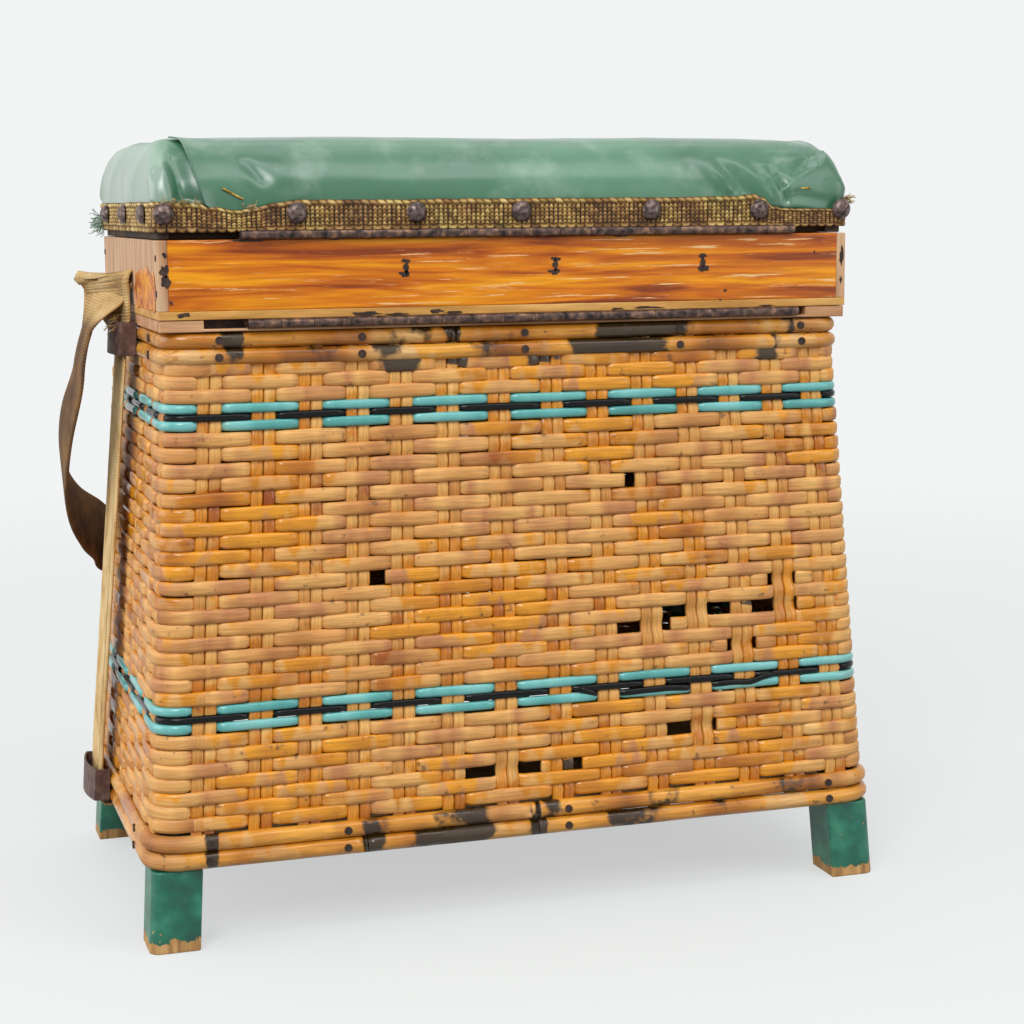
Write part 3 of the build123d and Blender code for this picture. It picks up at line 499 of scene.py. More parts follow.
# Each hoop: name, height, radius, joints, and dirt as (middle, half length, level) in mm
HOOPS = (
    ("top_rim_upper", 329.9, 4.5, (-38,),
     ((-160, 14, 0.75), (-60, 45, 0.55), (-38, 8, 0.9), (0, 30, 0.5), (75, 52, 1.0), (165, 8, 0.8))),
    ("top_rim_lower", 320.8, 4.5, (),
     ((-160, 12, 0.7), (-112, 26, 0.5), (-75, 20, 0.6), (-20, 24, 0.5), (62, 55, 0.95), (158, 7, 0.7))),
    ("bottom_rim_upper", 59.35, 4.75, (4,),
     ((-182, 8, 0.9), (-92, 16, 0.6), (-40, 34, 0.7), (12, 10, 0.8), (80, 26, 0.5), (160, 24, 0.6))),
    ("bottom_rim_lower", 49.75, 4.75, (-92, 4),
     ((-182, 8, 0.9), (-92, 12, 0.8), (-45, 42, 0.95), (4, 8, 1.0), (60, 30, 0.7), (120, 22, 0.5))))
for number, (name, height, radius, joints, dirt) in enumerate(HOOPS):
    bm = new_strands()
    found = []
    for step in range(4 * HOOP_STEPS):
        u = step / HOOP_STEPS
        wobble = 0.45 * MM * drift(u * 4, number + 20)
        middle, normal = wall_spot(u, height * MM + wobble, (radius - HOOP_INSET) * MM)
        r = radius * MM * (1 + 0.04 * drift(u * 7, number + 30))
        place = middle.x / MM if u < 1 else 999
        darkening = max((level * smooth(reach, 0.2 * reach, abs(place - at)) for at, reach, level in dirt),
                   default=0.0)
        found.append((u, (middle, normal * r, UP * r, darkening)))
    cuts = sorted(side_share(0, place) for place in joints)
    if not cuts:
        add_strand(bm, [s for _, s in found], sides=12, closed=True, square=2.0, grain=0.1 * number)
    for order, cut in enumerate(cuts):
        end = cuts[(order + 1) % len(cuts)]
        end += 4 if end <= cut else 0
        run = between(found, cut, end)
        for place, edge in ((0, cut), (len(run), end)):
            middle, normal = wall_spot(edge, height * MM, (radius - HOOP_INSET) * MM)
            back = (run[min(place, len(run) - 1)][0] - middle).normalized() * 0.25 * MM
            run.insert(place, (middle + back, normal * radius * MM, UP * radius * MM, 1.0))
        add_strand(bm, run, sides=12, square=2.0, grain=0.1 * number + 0.37 * order)
    finish_piece(name + "_cane", close_strands(bm), rim_cane, "basket", (name,))


# Wood: straight grain along one direction, drawn by stretched noise
def wood_material(name, stops, scale, roughness, bump_strength, coat=0.0, wear=None):
    material, shader, body, node = new_material(name, roughness)
    at = node("Mapping", {"Vector": body, "Scale": scale})
    rings = node("TexNoise", {"Vector": at, "Scale": 1.0, "Detail": 4.0, "Distortion": 0.6})
    colour = node("ValToRGB", {0: rings}, stops=stops)
    fine = node("Mapping", {"Vector": body, "Scale": tuple(4.5 * s for s in scale)})
    lines = node("TexNoise", {"Vector": fine, "Scale": 1.0, "Detail": 3.0})
    shade = node("MapRange", {0: lines, 1: 0.35, 2: 0.7, 3: 0.84, 4: 1.08})
    last = node("Mix", {0: 1.0, 6: colour, 7: shade}, **COLOUR_MIX, blend_type="MULTIPLY")
    if wear:
        scratch_at = node("Mapping", {"Vector": body, "Scale": wear[0]})
        scratch = node("TexNoise", {"Vector": scratch_at, "Scale": 1.0, "Detail": 6.0, "Roughness": 0.7})
        amount = node("MapRange", {0: scratch, 1: wear[1], 2: wear[1] + 0.05})
        last = node("Mix", {0: amount, 6: last, 7: linear(wear[2])}, **COLOUR_MIX)
    bump = node("Bump", {"Strength": bump_strength, "Distance": 0.0005, "Height": lines})
    fill(shader, {"Base Color": last, "Normal": bump, "Coat Weight": coat,
                  "Coat Roughness": 0.18, "Specular IOR Level": 0.35})
    return material


varnished_pine = wood_material(
    "varnished_pine", ((0.34, "#863702"), (0.43, "#b75a02"), (0.52, "#d37602"), (0.64, "#ea9808")),
    (9, 80, 150), 0.36, 0.3, coat=0.05, wear=((20, 70, 560), 0.6, "#e6bd84"))
bare_pine = wood_material(
    "bare_pine_upright_grain", ((0.3, "#a27453"), (0.5, "#c49a75"), (0.7, "#d3af8b")),
    (90, 230, 9), 0.6, 0.35)
bare_rail = wood_material(
    "bare_pine_rail", ((0.3, "#a5724c"), (0.5, "#c08e66"), (0.7, "#cfa47c")), (12, 120, 200), 0.6, 0.3)
ply = wood_material(
    "birch_ply", ((0.3, "#a8742f"), (0.5, "#c9944c"), (0.7, "#dcab64")), (12, 60, 90), 0.55, 0.3)
inner_pine = wood_material(
    "unpainted_pine", ((0.3, "#c39a6a"), (0.5, "#d6b283"), (0.7, "#e0c297")), (8, 40, 60), 0.6, 0.3)
# The lid board shows only in the gap of the rebate, so it is painted near-black brown as painted shade
shade_dark_board = wood_material(
    "lid_board_painted_shade", ((0.3, "#241810"), (0.5, "#3a281b"), (0.7, "#5a4029")), (8, 40, 60), 0.8, 0.3)


def paint_material():
    """Green oil paint on the legs: chipped on the edges and worn to wood at the foot."""
    material, shader, body, node = new_material("green_oil_paint", 0.42)
    height = node("SeparateXYZ", {0: body}, out="Z")
    blotch = node("TexNoise", {"Vector": body, "Scale": 70.0, "Detail": 5.0})
    paint = node("ValToRGB", {0: blotch}, stops=((0.3, "#0c4536"), (0.5, "#125f4a"), (0.68, "#2f785f")))
    wood_at = node("Mapping", {"Vector": body, "Scale": (300, 300, 40)})
    wood = node("TexNoise", {"Vector": wood_at, "Scale": 1.0, "Detail": 3.0})
    bare = node("ValToRGB", {0: wood}, stops=((0.3, "#8a6236"), (0.55, "#b58a54"), (0.75, "#c9a06a")))
    chips = node("TexNoise", {"Vector": body, "Scale": 210.0, "Detail": 6.0, "Roughness": 0.65})
    foot = node("MapRange", {0: height, 1: 0.002, 2: 0.009, 3: 0.5, 4: 0.0})
    worn = node("Math", {0: chips, 1: foot}, operation="ADD")
    mask = node("MapRange", {0: worn, 1: 0.66, 2: 0.69})
    colour = node("Mix", {0: mask, 6: paint, 7: bare}, **COLOUR_MIX)
    rough = node("MapRange", {0: mask, 3: 0.38, 4: 0.8})
    lower = node("Math", {0: 1.0, 1: mask}, operation="SUBTRACT")
    bump = node("Bump", {"Strength": 0.5, "Distance": 0.0004, "Height": lower})
    fill(shader, {"Base Color": colour, "Roughness": rough, "Normal": bump})
    return material


def metal_material(name, stops, scale, roughness, metallic, bump_strength):
    """Old metal: rust or tarnish in blotches, pitted."""
    material, shader, body, node = new_material(name, roughness, metallic)
    blotch = node("TexNoise", {"Vector": body, "Scale": scale, "Detail": 6.0})
    colour = node("ValToRGB", {0: blotch}, stops=stops)
    bump = node("Bump", {"Strength": bump_strength, "Distance": 0.0004, "Height": blotch})
    fill(shader, {"Base Color": colour, "Normal": bump})
    return material


green_paint = paint_material()
rusty_steel = metal_material(
    "rusted_hinge_steel", ((0.34, "#1f1615"), (0.46, "#4b3832"), (0.56, "#5d463d"), (0.7, "#8d6a50")),
    260.0, 0.38, 0.5, 0.35)
# Dark rust on nails and marks; the same dark also fills the hinge rebates as painted shade
dark_rust_and_shade = metal_material("dark_rust_and_shade", ((0.3, "#1d1310"), (0.5, "#2f201a"), (0.7, "#4a3227")),
                           300.0, 0.75, 0.2, 0.5)
nail_steel = metal_material("browned_dome_nails", ((0.34, "#2c211f"), (0.5, "#544340"), (0.66, "#77655e")),
                            420.0, 0.34, 0.55, 0.3)
keeper_tin = metal_material("rusted_thin_strip", ((0.3, "#3f2c27"), (0.5, "#594039"), (0.7, "#765a4e")),
                            190.0, 0.55, 0.35, 0.35)
old_brass = metal_material("tarnished_brass", ((0.3, "#7a5c28"), (0.5, "#a58440"), (0.7, "#c2a45e")),
                           260.0, 0.38, 0.9, 0.2)


def dressed(node, material, edge, body):
    """A copy of a CAD node that stands for it: bevelled by edge mm, or smoothed if 0."""
    bm = bmesh.new()
    bm.from_mesh(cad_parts[node].data)
    bmesh.ops.remove_doubles(bm, verts=bm.verts, dist=2e-6)
    bmesh.ops.dissolve_limit(bm, angle_limit=math.radians(2), verts=bm.verts, edges=bm.edges)
    sharp = [e for e in bm.edges if len(e.link_faces) == 2 and e.calc_face_angle(0) > math.radians(35)]
    if edge:
        bmesh.ops.bevel(bm, geom=sharp, affect="EDGES", offset=edge * MM, segments=2, profile=0.5,
                        material=-1)
    piece = finish_piece(node + "_dressed", bm, material, body, (node,), flat=edge > 0)
    if not edge:
        piece.data.set_sharp_from_angle(angle=math.radians(40))


for body, material, edge, slot, nodes in (
        ("basket", green_paint, 0.9, "painted_wood",
         ("leg_left_hinge_side", "leg_right_hinge_side", "leg_left_opening_side",
          "leg_right_opening_side")),
        ("basket", bare_rail, 0.5, "varnished_wood",
         ("frame_rail_hinge_side", "frame_rail_opening_side", "frame_rail_left",
          "frame_rail_right")),
        ("basket", inner_pine, 0.5, "plain_wood", ("base_battens", "base_planks")),
        ("tray", varnished_pine, 0.7, "varnished_wood",
         ("tray_board_hinge_side", "tray_board_opening_side")),
        ("tray", bare_pine, 0.5, "plain_wood", ("tray_board_left", "tray_board_right")),
        ("tray", ply, 0.4, "plain_wood", ("tray_floor",)),
        ("tray", inner_pine, 0.4, "plain_wood",
         ("tray_divider_1", "tray_divider_2", "tray_divider_3")),
        ("lid", shade_dark_board, 0.4, "plain_wood", ("lid_board",)),
        ("basket", keeper_tin, 0.2, "keeper_metal",
         ("upper_keeper_left", "lower_keeper_left", "upper_keeper_right", "lower_keeper_right")),
        ("basket", rusty_steel, 0, "hinge_metal", ("lower_hinge_basket_leaf", "lower_hinge_pin")),
        ("tray", rusty_steel, 0, "hinge_metal",
         ("lower_hinge_tray_leaf", "upper_hinge_tray_leaf", "upper_hinge_pin")),
        ("lid", rusty_steel, 0, "hinge_metal", ("upper_hinge_lid_leaf",)),
        ("basket", dark_rust_and_shade, 0, "nail_metal", ("rim_nails",)),
        ("basket", nail_steel, 0, "nail_metal", ("keeper_nails",)),
        ("tray", dark_rust_and_shade, 0, "nail_metal", ("tray_nails",)),
        ("lid", nail_steel, 0, "nail_metal", ("dome_nails",)),
        ("lid", old_brass, 0, "brass", ("cover_staples", "lid_hook_catch")),
        ("lid_hook", old_brass, 0, "brass", ("lid_hook",)),
        ("tray_hook", old_brass, 0, "brass", ("tray_hook",)),
        ("tray", old_brass, 0, "brass", ("lid_hook_pivot", "tray_hook_catch")),
        ("basket", old_brass, 0, "brass", ("tray_hook_pivot",))):
    for node in nodes:
        dressed(node, material, edge, body)


# Rust stains and blots on the boards: thin plates with a ragged outline
def add_blot(bm, middle, half, seed, ragged=0.3, thick=0.25):
    """Blot facing -Y at (x, y, z) in mm, of half width and half height."""
    made = bmesh.ops.create_circle(bm, cap_ends=True, segments=18, radius=1.0)["verts"]
    for number, vert in enumerate(made):
        turn = number * 0.35
        rough = 1 + ragged * noise.noise(Vector((math.cos(turn) * 1.7, math.sin(turn) * 1.7, seed)))
        vert.co = Vector((middle[0] + vert.co.x * half[0] * rough, middle[1],
                          middle[2] + vert.co.y * half[1] * rough))
    faces = list({f for v in made for f in v.link_faces})
    top = bmesh.ops.extrude_face_region(bm, geom=faces)["geom"]
    raised = [g for g in top if isinstance(g, bmesh.types.BMVert)]
    bmesh.ops.translate(bm, vec=(0, -thick, 0), verts=raised)


def add_plate(bm, low, high):
    """Box between two corners in mm."""
    size = Vector(high) - Vector(low)
    place = Matrix.Translation((Vector(low) + Vector(high)) / 2) @ Matrix.Diagonal((*size, 1))
    bmesh.ops.create_cube(bm, size=1.0, matrix=place)


def scaled(bm):
    """The same bmesh, from millimetres to metres."""
    bmesh.ops.scale(bm, vec=(MM, MM, MM), verts=bm.verts)
    return bm


bm = bmesh.new()
for seed, (x, z) in enumerate(((-65, 367), (21, 367), (110, 367.5))):
    for dx, dz, half in ((0, 3.4, (2.6, 1.2)), (0.2, 0, (1.0, 3.6)), (-0.3, -3.4, (3.0, 1.7))):
        add_blot(bm, (x + dx, -108.75, z + dz), half, seed * 3 + dz, 0.7)
for seed, (x, z, half) in enumerate((
        (-196.2, 367, (2.4, 3.4)), (-195.6, 361, (2.0, 3.2)), (-195.8, 375, (1.0, 1.6)),
        (-152, 382.6, (8, 0.8)), (197.6, 370, (1.2, 4.4)), (197.4, 356, (0.8, 2.0)),
        (124, 351, (0.9, 0.9)), (121, 345.9, (0.6, 0.6)), (-104, 382.7, (5, 0.5)),
        (60, 382.7, (6, 0.5)), (-193, 350, (0.8, 1.2)), (180, 372, (0.5, 1.0)))):
    add_blot(bm, (x, -108.72, z), half, seed + 20.5, 0.8)
for seed, (x, z, half) in enumerate((
        (-187, 343.6, (4.0, 1.4)), (-87, 342.4, (9, 0.9)), (-70, 342.0, (6, 0.6)), (-48, 343.0, (4, 1.2)),
        (-38, 342.0, (5, 0.7)), (58, 342.0, (5, 0.6)), (76, 342.2, (8, 0.6)), (150, 341.9, (5, 0.5)))):
    add_blot(bm, (x, -108.78, z), half, seed + 50.5, 0.9)
finish_piece("rust_marks", scaled(bm), dark_rust_and_shade, "tray", flat=True)

# Painted shade: dark plates that fill the hinge rebates, left of and right of the barrels
bm = bmesh.new()
for low, high in (((-176, -101.6, 334.6), (-153.4, -100.2, 340.8)),
                  ((168.4, -101.6, 334.6), (174.8, -100.2, 340.8)),
                  ((-176, -108.2, 334.52), (-153.4, -100.2, 334.8)),
                  ((168.4, -108.2, 334.52), (174.8, -100.2, 334.8))):
    add_plate(bm, low, high)
finish_piece("rebate_painted_shade", scaled(bm), dark_rust_and_shade, "basket", flat=True)

# Left end of the tray: a split, a patch of old varnish and a blue-black stain
for name, material, blots in (
        ("end_board_split", dark_rust_and_shade, ((-66, 364, 0.55, 18.5),)),
        ("end_board_varnish", varnished_pine,
         ((88, 355, 15, 9), (70, 357, 20, 10.5), (50, 356, 16, 11), (34, 354, 12, 9), (60, 350, 34, 4.5))),
        ("end_board_stain", dark_rust_and_shade, ((8, 358, 2.6, 7.5), (4, 352, 4.5, 6.5), (-3, 349, 2.5, 3.5)))):
    bm = bmesh.new()
    for across, z, half, rise in blots:
        add_blot(bm, (across, -200.1 - 0.002 * across, z), (half, rise), across * 0.7, 0.55, 0.12)
    bmesh.ops.rotate(bm, matrix=Matrix.Rotation(-math.pi / 2, 3, "Z"), verts=bm.verts)
    finish_piece(name, scaled(bm), material, "tray", flat=True)


# Leathercloth: green coated cloth with a fine emboss, with a painted pale reflection on the left end
def leathercloth_material():
    material, shader, body, node = new_material("green_leathercloth", 0.34)
    cloud = node("TexNoise", {"Vector": body, "Scale": 16.0, "Detail": 5.0})
    colour = node("ValToRGB", {0: cloud}, stops=((0.3, "#2b5a40"), (0.5, "#35694b"), (0.7, "#46795b")))
    # The real emboss is 0.3 mm, too fine to show, so it is drawn at 0.9 mm
    pores = node("TexVoronoi", {"Vector": body, "Scale": 1100.0})
    bump = node("Bump", {"Strength": 0.08, "Distance": 0.0003, "Height": pores})
    rub = node("MapRange", {0: cloud, 1: 0.35, 2: 0.7, 3: 0.3, 4: 0.44})
    # The left end is painted pale as a painted reflection of the bright light from the left, and a bloom lies
    # in cloudy spots
    across = node("SeparateXYZ", {0: body}, out="X")
    painted_light_end = node("MapRange", {0: across, 1: -0.1885, 2: -0.1965, 3: 0.0, 4: 0.62})
    bloom = node("TexNoise", {"Vector": body, "Scale": 34.0, "Detail": 7.0, "Roughness": 0.6})
    bloom = node("MapRange", {0: bloom, 1: 0.52, 2: 0.72, 3: 0.0, 4: 0.3})
    pale = node("Math", {0: painted_light_end, 1: bloom}, operation="MAXIMUM")
    last = node("Mix", {0: pale, 6: colour, 7: linear("#9db0a2")}, **COLOUR_MIX)
    fill(shader, {"Base Color": last, "Roughness": rub, "Normal": bump, "Coat Weight": 0.5,
                  "Coat Roughness": 0.26})
    return material


leathercloth = leathercloth_material()

# Height of the braid's upper edge along the hinge side, as (x, z) in mm: it dips where
# cloth was folded over it
BRAID_TOP = ((-200, 402.6), (-178, 402.4), (-172, 400.6), (-156, 398.2), (-148, 399.6), (-136, 402.2),
             (-123, 403.9), (-60, 403.6), (0, 404.0), (60, 403.8), (130, 404.4), (141, 405.6),
             (147, 403.4), (153, 398.6), (160, 397.2), (194, 397.0), (200, 399.0))
# Height of its lower edge, and of its upper edge on the other sides
BRAID_LOW, BRAID_HIGH = 386.8, 403.0


def braid_top(point):
    """Height of the braid's upper edge at a place round the lid, mm."""
    if point.y <= -108 and abs(point.x) < 200:
        for (x0, z0), (x1, z1) in zip(BRAID_TOP, BRAID_TOP[1:]):
            if x0 <= point.x <= x1:
                return z0 + (z1 - z0) * smooth(x0, x1, point.x)
    return BRAID_HIGH


# Cover: half length and half depth, the grids and the cloth's thickness, mm. Its profile is
# given as (share of the way in from the hem, inset on the ends, inset on the long sides,
# height). The ends are boxy, the long sides slope back
COVER_HALF = (199.9, 107.8)
COVER_GRID = (360, 240)
FLAP_GRID = (40, 44)
CLOTH_THICK = 0.7
PROFILE = ((0.0, 1.6, 1.6, 391.0), (0.06, 0.2, 0.4, 397.0), (0.12, -1.2, 0.0, 402.5),
           (0.18, -1.8, 0.4, 408.0), (0.24, -1.6, 2.2, 414.0), (0.30, -0.8, 5.2, 419.5),
           (0.36, 0.4, 9.0, 425.0), (0.42, 2.4, 13.8, 430.0), (0.49, 6.0, 20.0, 434.3),
           (0.60, 16.0, 31.0, 437.0), (0.76, 42.0, 55.0, 438.4), (1.0, 107.8, 107.8, 439.0))


def profile_at(share):
    """Insets and height on the cover's profile, smoothly between its points."""
    at = 0
    while at < len(PROFILE) - 2 and share > PROFILE[at + 1][0]:
        at += 1
    before, low = PROFILE[max(at - 1, 0)], PROFILE[at]
    high, after = PROFILE[at + 1], PROFILE[min(at + 2, len(PROFILE) - 1)]
    t = (share - low[0]) / (high[0] - low[0])
    found = []
    for value in (1, 2, 3):
        step = high[0] - low[0]
        m0 = (high[value] - before[value]) / (high[0] - before[0]) * step
        m1 = (after[value] - low[value]) / (after[0] - low[0]) * step
        found.append((2 * t ** 3 - 3 * t * t + 1) * low[value] + (t ** 3 - 2 * t * t + t) * m0
                     + (3 * t * t - 2 * t ** 3) * high[value] + (t ** 3 - t * t) * m1)
    return found


# Creases in the cover: from and to as (x, y, z) in mm, width on the left and on the
# right of that run seen from outside, and height outwards. A narrow side is a sharp edge
CREASES = (
    # Dark hollow left of the folded flap, with an inner fold, and soft pulls on the end
    ((-191, -97, 435), (-184, -108, 402), 4.5, 6.0, -4.4),
    ((-196, -98, 432), (-192, -107, 402), 2.2, 2.2, 2.0),
    ((-199, -96, 430), (-200, -102, 404), 2.5, 2.0, 1.4),
    ((-190, -80, 437), (-200, -40, 414), 9.0, 8.0, 1.4),
    ((-192, -60, 437), (-200, 0, 420), 12.0, 12.0, -1.0),
    ((-192, 20, 437), (-201, 60, 410), 9.0, 9.0, 1.2),
    ((-149, -103, 424), (-142, -106, 415), 4.0, 4.0, -1.6),
    ((-132, -103, 427), (-124, -107, 412), 9.0, 9.0, 1.0),
    # Right corner: cloth tucked under a pocket that was folded over last and stapled
    ((194, -97, 435), (187, -103, 424), 1.4, 9.0, 3.4), ((187, -103, 424), (177, -106, 419), 1.2, 8.0, 3.6),
    ((177, -106, 419), (162, -109, 410), 1.2, 8.0, 3.2), ((162, -109, 410), (163, -110, 394), 1.1, 12.0, 2.4),
    ((190, -97, 434), (172, -106, 420), 5.0, 2.5, -2.2),
    ((148, -103, 426), (160, -109, 398), 3.0, 3.6, 2.2), ((154, -103, 425), (163, -107, 412), 2.4, 2.8, 1.5),
    ((152, -104, 422), (162, -108, 402), 2.4, 2.4, -1.6), ((116, -103, 426), (126, -108, 409), 3.0, 4.0, 1.7),
    ((134, -103, 427), (152, -108, 404), 5.0, 4.0, 1.5), ((124, -104, 424), (140, -109, 404), 4.5, 4.5, -1.5),
    ((106, -103, 424), (118, -108, 408), 5.0, 5.0, -1.0), ((160, -100, 431), (182, -101, 429), 5.0, 5.0, 1.4),
    ((186, -104, 412), (199, -104, 410), 4.0, 6.0, 1.2), ((168, -108, 404), (196, -106, 401), 5.0, 3.0, -0.9),
    # The two corners on the opening side, folded the same way
    ((184, 98, 437), (175, 108, 402), 1.8, 12.0, 3.6), ((190, 99, 433), (184, 108, 404), 5.0, 4.0, -3.0),
    ((-190, 97, 435), (-164, 109, 398), 1.8, 11.0, 3.4), ((-188, 97, 434), (-172, 106, 420), 4.0, 4.0, -2.4),
    ((188, 70, 436), (200, 92, 410), 6.0, 8.0, 1.6), ((190, -70, 436), (200, -94, 408), 7.0, 6.0, 1.6),
    ((192, -80, 434), (201, -102, 412), 3.0, 3.0, -1.6), ((-192, 92, 434), (-201, 98, 408), 4.0, 4.0, 1.6))


def crease_push(point, normal):
    """Height of all creases at a point of the cover, in mm."""
    raised = sunk = 0.0
    for start, end, left, right, rise in CREASES:
        a = Vector(start)
        run = Vector(end) - a
        share = min(max((point - a).dot(run) / run.length_squared, 0), 1)
        away = point - a - run * share
        reach = away.length
        if reach > 3 * max(left, right):
            continue
        width = left if away.dot(normal.cross(run)) < 0 else right
        value = rise * math.exp(-(reach / width) ** 2)
        raised, sunk = max(raised, value), min(sunk, value)
    return raised + sunk


def cover_point(s, t):
    """Point of the cover over a square from -1 to 1, its middle on top."""
    edge = max(abs(s), abs(t), 1e-6)
    share = 1.0 - edge
    end_inset, side_inset, height = profile_at(share)
    corner = 7.0 + 14.0 * smooth(0.2, 0.6, share)
    half_x, half_y = COVER_HALF[0] - end_inset, COVER_HALF[1] - side_inset
    corner = max(min(corner, half_y * 0.98), 0.01)
    x, y = s / edge * half_x, t / edge * half_y
    if abs(x) > half_x - corner and abs(y) > half_y - corner:
        dx, dy = abs(x) - (half_x - corner), abs(y) - (half_y - corner)
        reach = max(dx, dy) / math.hypot(dx, dy)
        x = math.copysign(half_x - corner + dx * reach, x)
        y = math.copysign(half_y - corner + dy * reach, y)
    return Vector((x, y, height))


def spline(points, steps):
    """Smooth line through points of any length, Catmull-Rom."""
    found = []
    for number in range(len(points) - 1):
        p0 = points[max(number - 1, 0)]
        p1, p2 = points[number], points[number + 1]
        p3 = points[min(number + 2, len(points) - 1)]
        for step in range(steps):
            t = step / steps
            found.append([0.5 * (2 * b + (c - a) * t + (2 * a - 5 * b + 4 * c - d) * t * t
                                 + (3 * b - a - 3 * c + d) * t ** 3)
                          for a, b, c, d in zip(p0, p1, p2, p3)])
    found.append(list(points[-1]))
    return found


# Cloth folded over the near left corner: its free edge from the top to the tip, and the
# line where it lies flat again, mm
FLAP_EDGE = ((-188, -82, 438), (-184, -91, 434.5), (-181.5, -98, 428.5), (-179, -104, 419),
             (-174, -109, 402.5))
FLAP_BACK = ((-150, -82, 438), (-146, -91, 434.5), (-143, -98, 428.5), (-141, -104, 419),
             (-136, -109, 401.0))


def build_flap(surface):
    """The folded cloth as a bmesh: it lies on the cover and its left edge stands free."""
    flap = bmesh.new()
    made = bmesh.ops.create_grid(flap, x_segments=FLAP_GRID[0], y_segments=FLAP_GRID[1],
                                 size=0.5)["verts"]
    edge, back = spline(FLAP_EDGE, 12), spline(FLAP_BACK, 12)
    for vert in made:
        t, down = vert.co.x + 0.5, vert.co.y + 0.5
        at = min(int(down * (len(edge) - 1)), len(edge) - 2)
        rest = down * (len(edge) - 1) - at
        left = Vector(edge[at]).lerp(Vector(edge[at + 1]), rest)
        right = Vector(back[at]).lerp(Vector(back[at + 1]), rest)
        sag = UP * 4.5 * math.sin(math.pi * t) * smooth(0.75, 1.0, down)
        rough = left.lerp(right, t ** 1.5) - sag
        tilt = math.radians(62 - 62 * smooth(0.0, 0.8, down))
        away = Vector((-0.12 * (1 - t), -math.cos(tilt), math.sin(tilt)))
        hit = surface.ray_cast((rough + away * 40) * MM, -away)[0]
        stand = (3.6 + 1.2 * math.sin(math.pi * down)) * (1 - t) ** 2.4
        stand *= 0.4 + 0.6 * smooth(0.0, 0.35, down)
        stand += 0.5 * math.sin(7 * t + 2 * down) * t * (1 - t) - 0.9 * smooth(0.55, 1.0, t)
        vert.co = (hit or rough * MM) + away * (stand + 0.35) * MM
    bmesh.ops.solidify(flap, geom=flap.faces[:] + flap.edges[:] + flap.verts[:],
                       thickness=CLOTH_THICK * MM)
    return flap


def build_cover():
    bm = bmesh.new()
    bmesh.ops.create_grid(bm, x_segments=COVER_GRID[0], y_segments=COVER_GRID[1], size=1.0)
    for vert in bm.verts:
        # The grid is finer towards the rim and the corners, where the creases are
        s, t = (math.copysign(1 - (1 - abs(q)) ** 1.45, q) for q in vert.co.xy)
        vert.co = cover_point(s, t)
    bm.normal_update()
    moves = []
    for vert in bm.verts:
        push = 0.7 * noise.noise(vert.co / 60) + 0.3 * noise.noise(vert.co / 18)
        push += crease_push(vert.co, vert.normal)
        edge = braid_top(vert.co * (111 / 108))
        moves.append(vert.normal * min(push, 4.8) * smooth(edge - 3, edge + 2.5, vert.co.z))
    for vert, move in zip(bm.verts, moves):
        vert.co = (vert.co + move) * MM
    flap = build_flap(BVHTree.FromBMesh(bm))
    rim = [e for e in bm.edges if e.is_boundary]
    inner = bmesh.ops.extrude_edge_only(bm, edges=rim)["geom"]
    low = [g for g in inner if isinstance(g, bmesh.types.BMVert)]
    bmesh.ops.scale(bm, vec=(0.98, 0.965, 1), verts=low)
    bmesh.ops.translate(bm, vec=(0, 0, 3 * MM), verts=low)
    bmesh.ops.holes_fill(bm, edges=[e for e in bm.edges if e.is_boundary], sides=0)
    folded = bpy.data.meshes.new("flap")
    flap.to_mesh(folded)
    flap.free()
    bm.from_mesh(folded)
    bpy.data.meshes.remove(folded)
    cover = finish_piece("cover_cushion", bm, leathercloth, "lid",
                         ("lid_cover", "lid_padding"))


build_cover()


# Gimp braid: knitted columns between a looped lower edge and a corded upper edge
def braid_material():
    material, shader, body, node = new_material("woven_gimp", 0.85)
    # The around layer holds a relief tone: the ramp paints shade into the hollows and painted highlight on
    # the raised knots, loops and cord
    depth = node("Attribute", attribute_name="around", out="Fac")
    thread_and_shade = node("ValToRGB", {0: depth},
                  stops=((0.14, "#170e06"), (0.34, "#5d421f"), (0.55, "#a88a52"), (0.8, "#dcc892"),
                         (1.0, "#efe2b6")))
    stain = node("TexNoise", {"Vector": body, "Scale": 48.0, "Detail": 5.0})
    tint = node("ValToRGB", {0: stain},
                stops=((0.34, "#8a5c38"), (0.46, "#bd9562"), (0.56, "#f2e3ba"), (0.7, "#b4b777")))
    mixed = node("Mix", {0: 0.75, 6: thread_and_shade, 7: tint}, **COLOUR_MIX, blend_type="MULTIPLY")
    # The left end is drawn paler: the stain tint is partly left off there
    across = node("SeparateXYZ", {0: body}, out="X")
    paler_tone = node("MapRange", {0: across, 1: -0.199, 2: -0.202, 3: 0.0, 4: 0.6})
    mixed = node("Mix", {0: paler_tone, 6: mixed, 7: thread_and_shade}, **COLOUR_MIX)
    fuzz = node("TexNoise", {"Vector": body, "Scale": 900.0, "Detail": 2.0})
    bump = node("Bump", {"Strength": 0.5, "Distance": 0.0004, "Height": fuzz})
    fill(shader, {"Base Color": mixed, "Normal": bump})
    return material


# Half length, half depth and corner of the braid's inner outline, its grid, and the
# distance from loop to loop, mm
BRAID_HALF = (200.9, 108.8, 6.5)
BRAID_COLUMNS, BRAID_ROWS = 2400, 34
BRAID_PITCH = 5.3


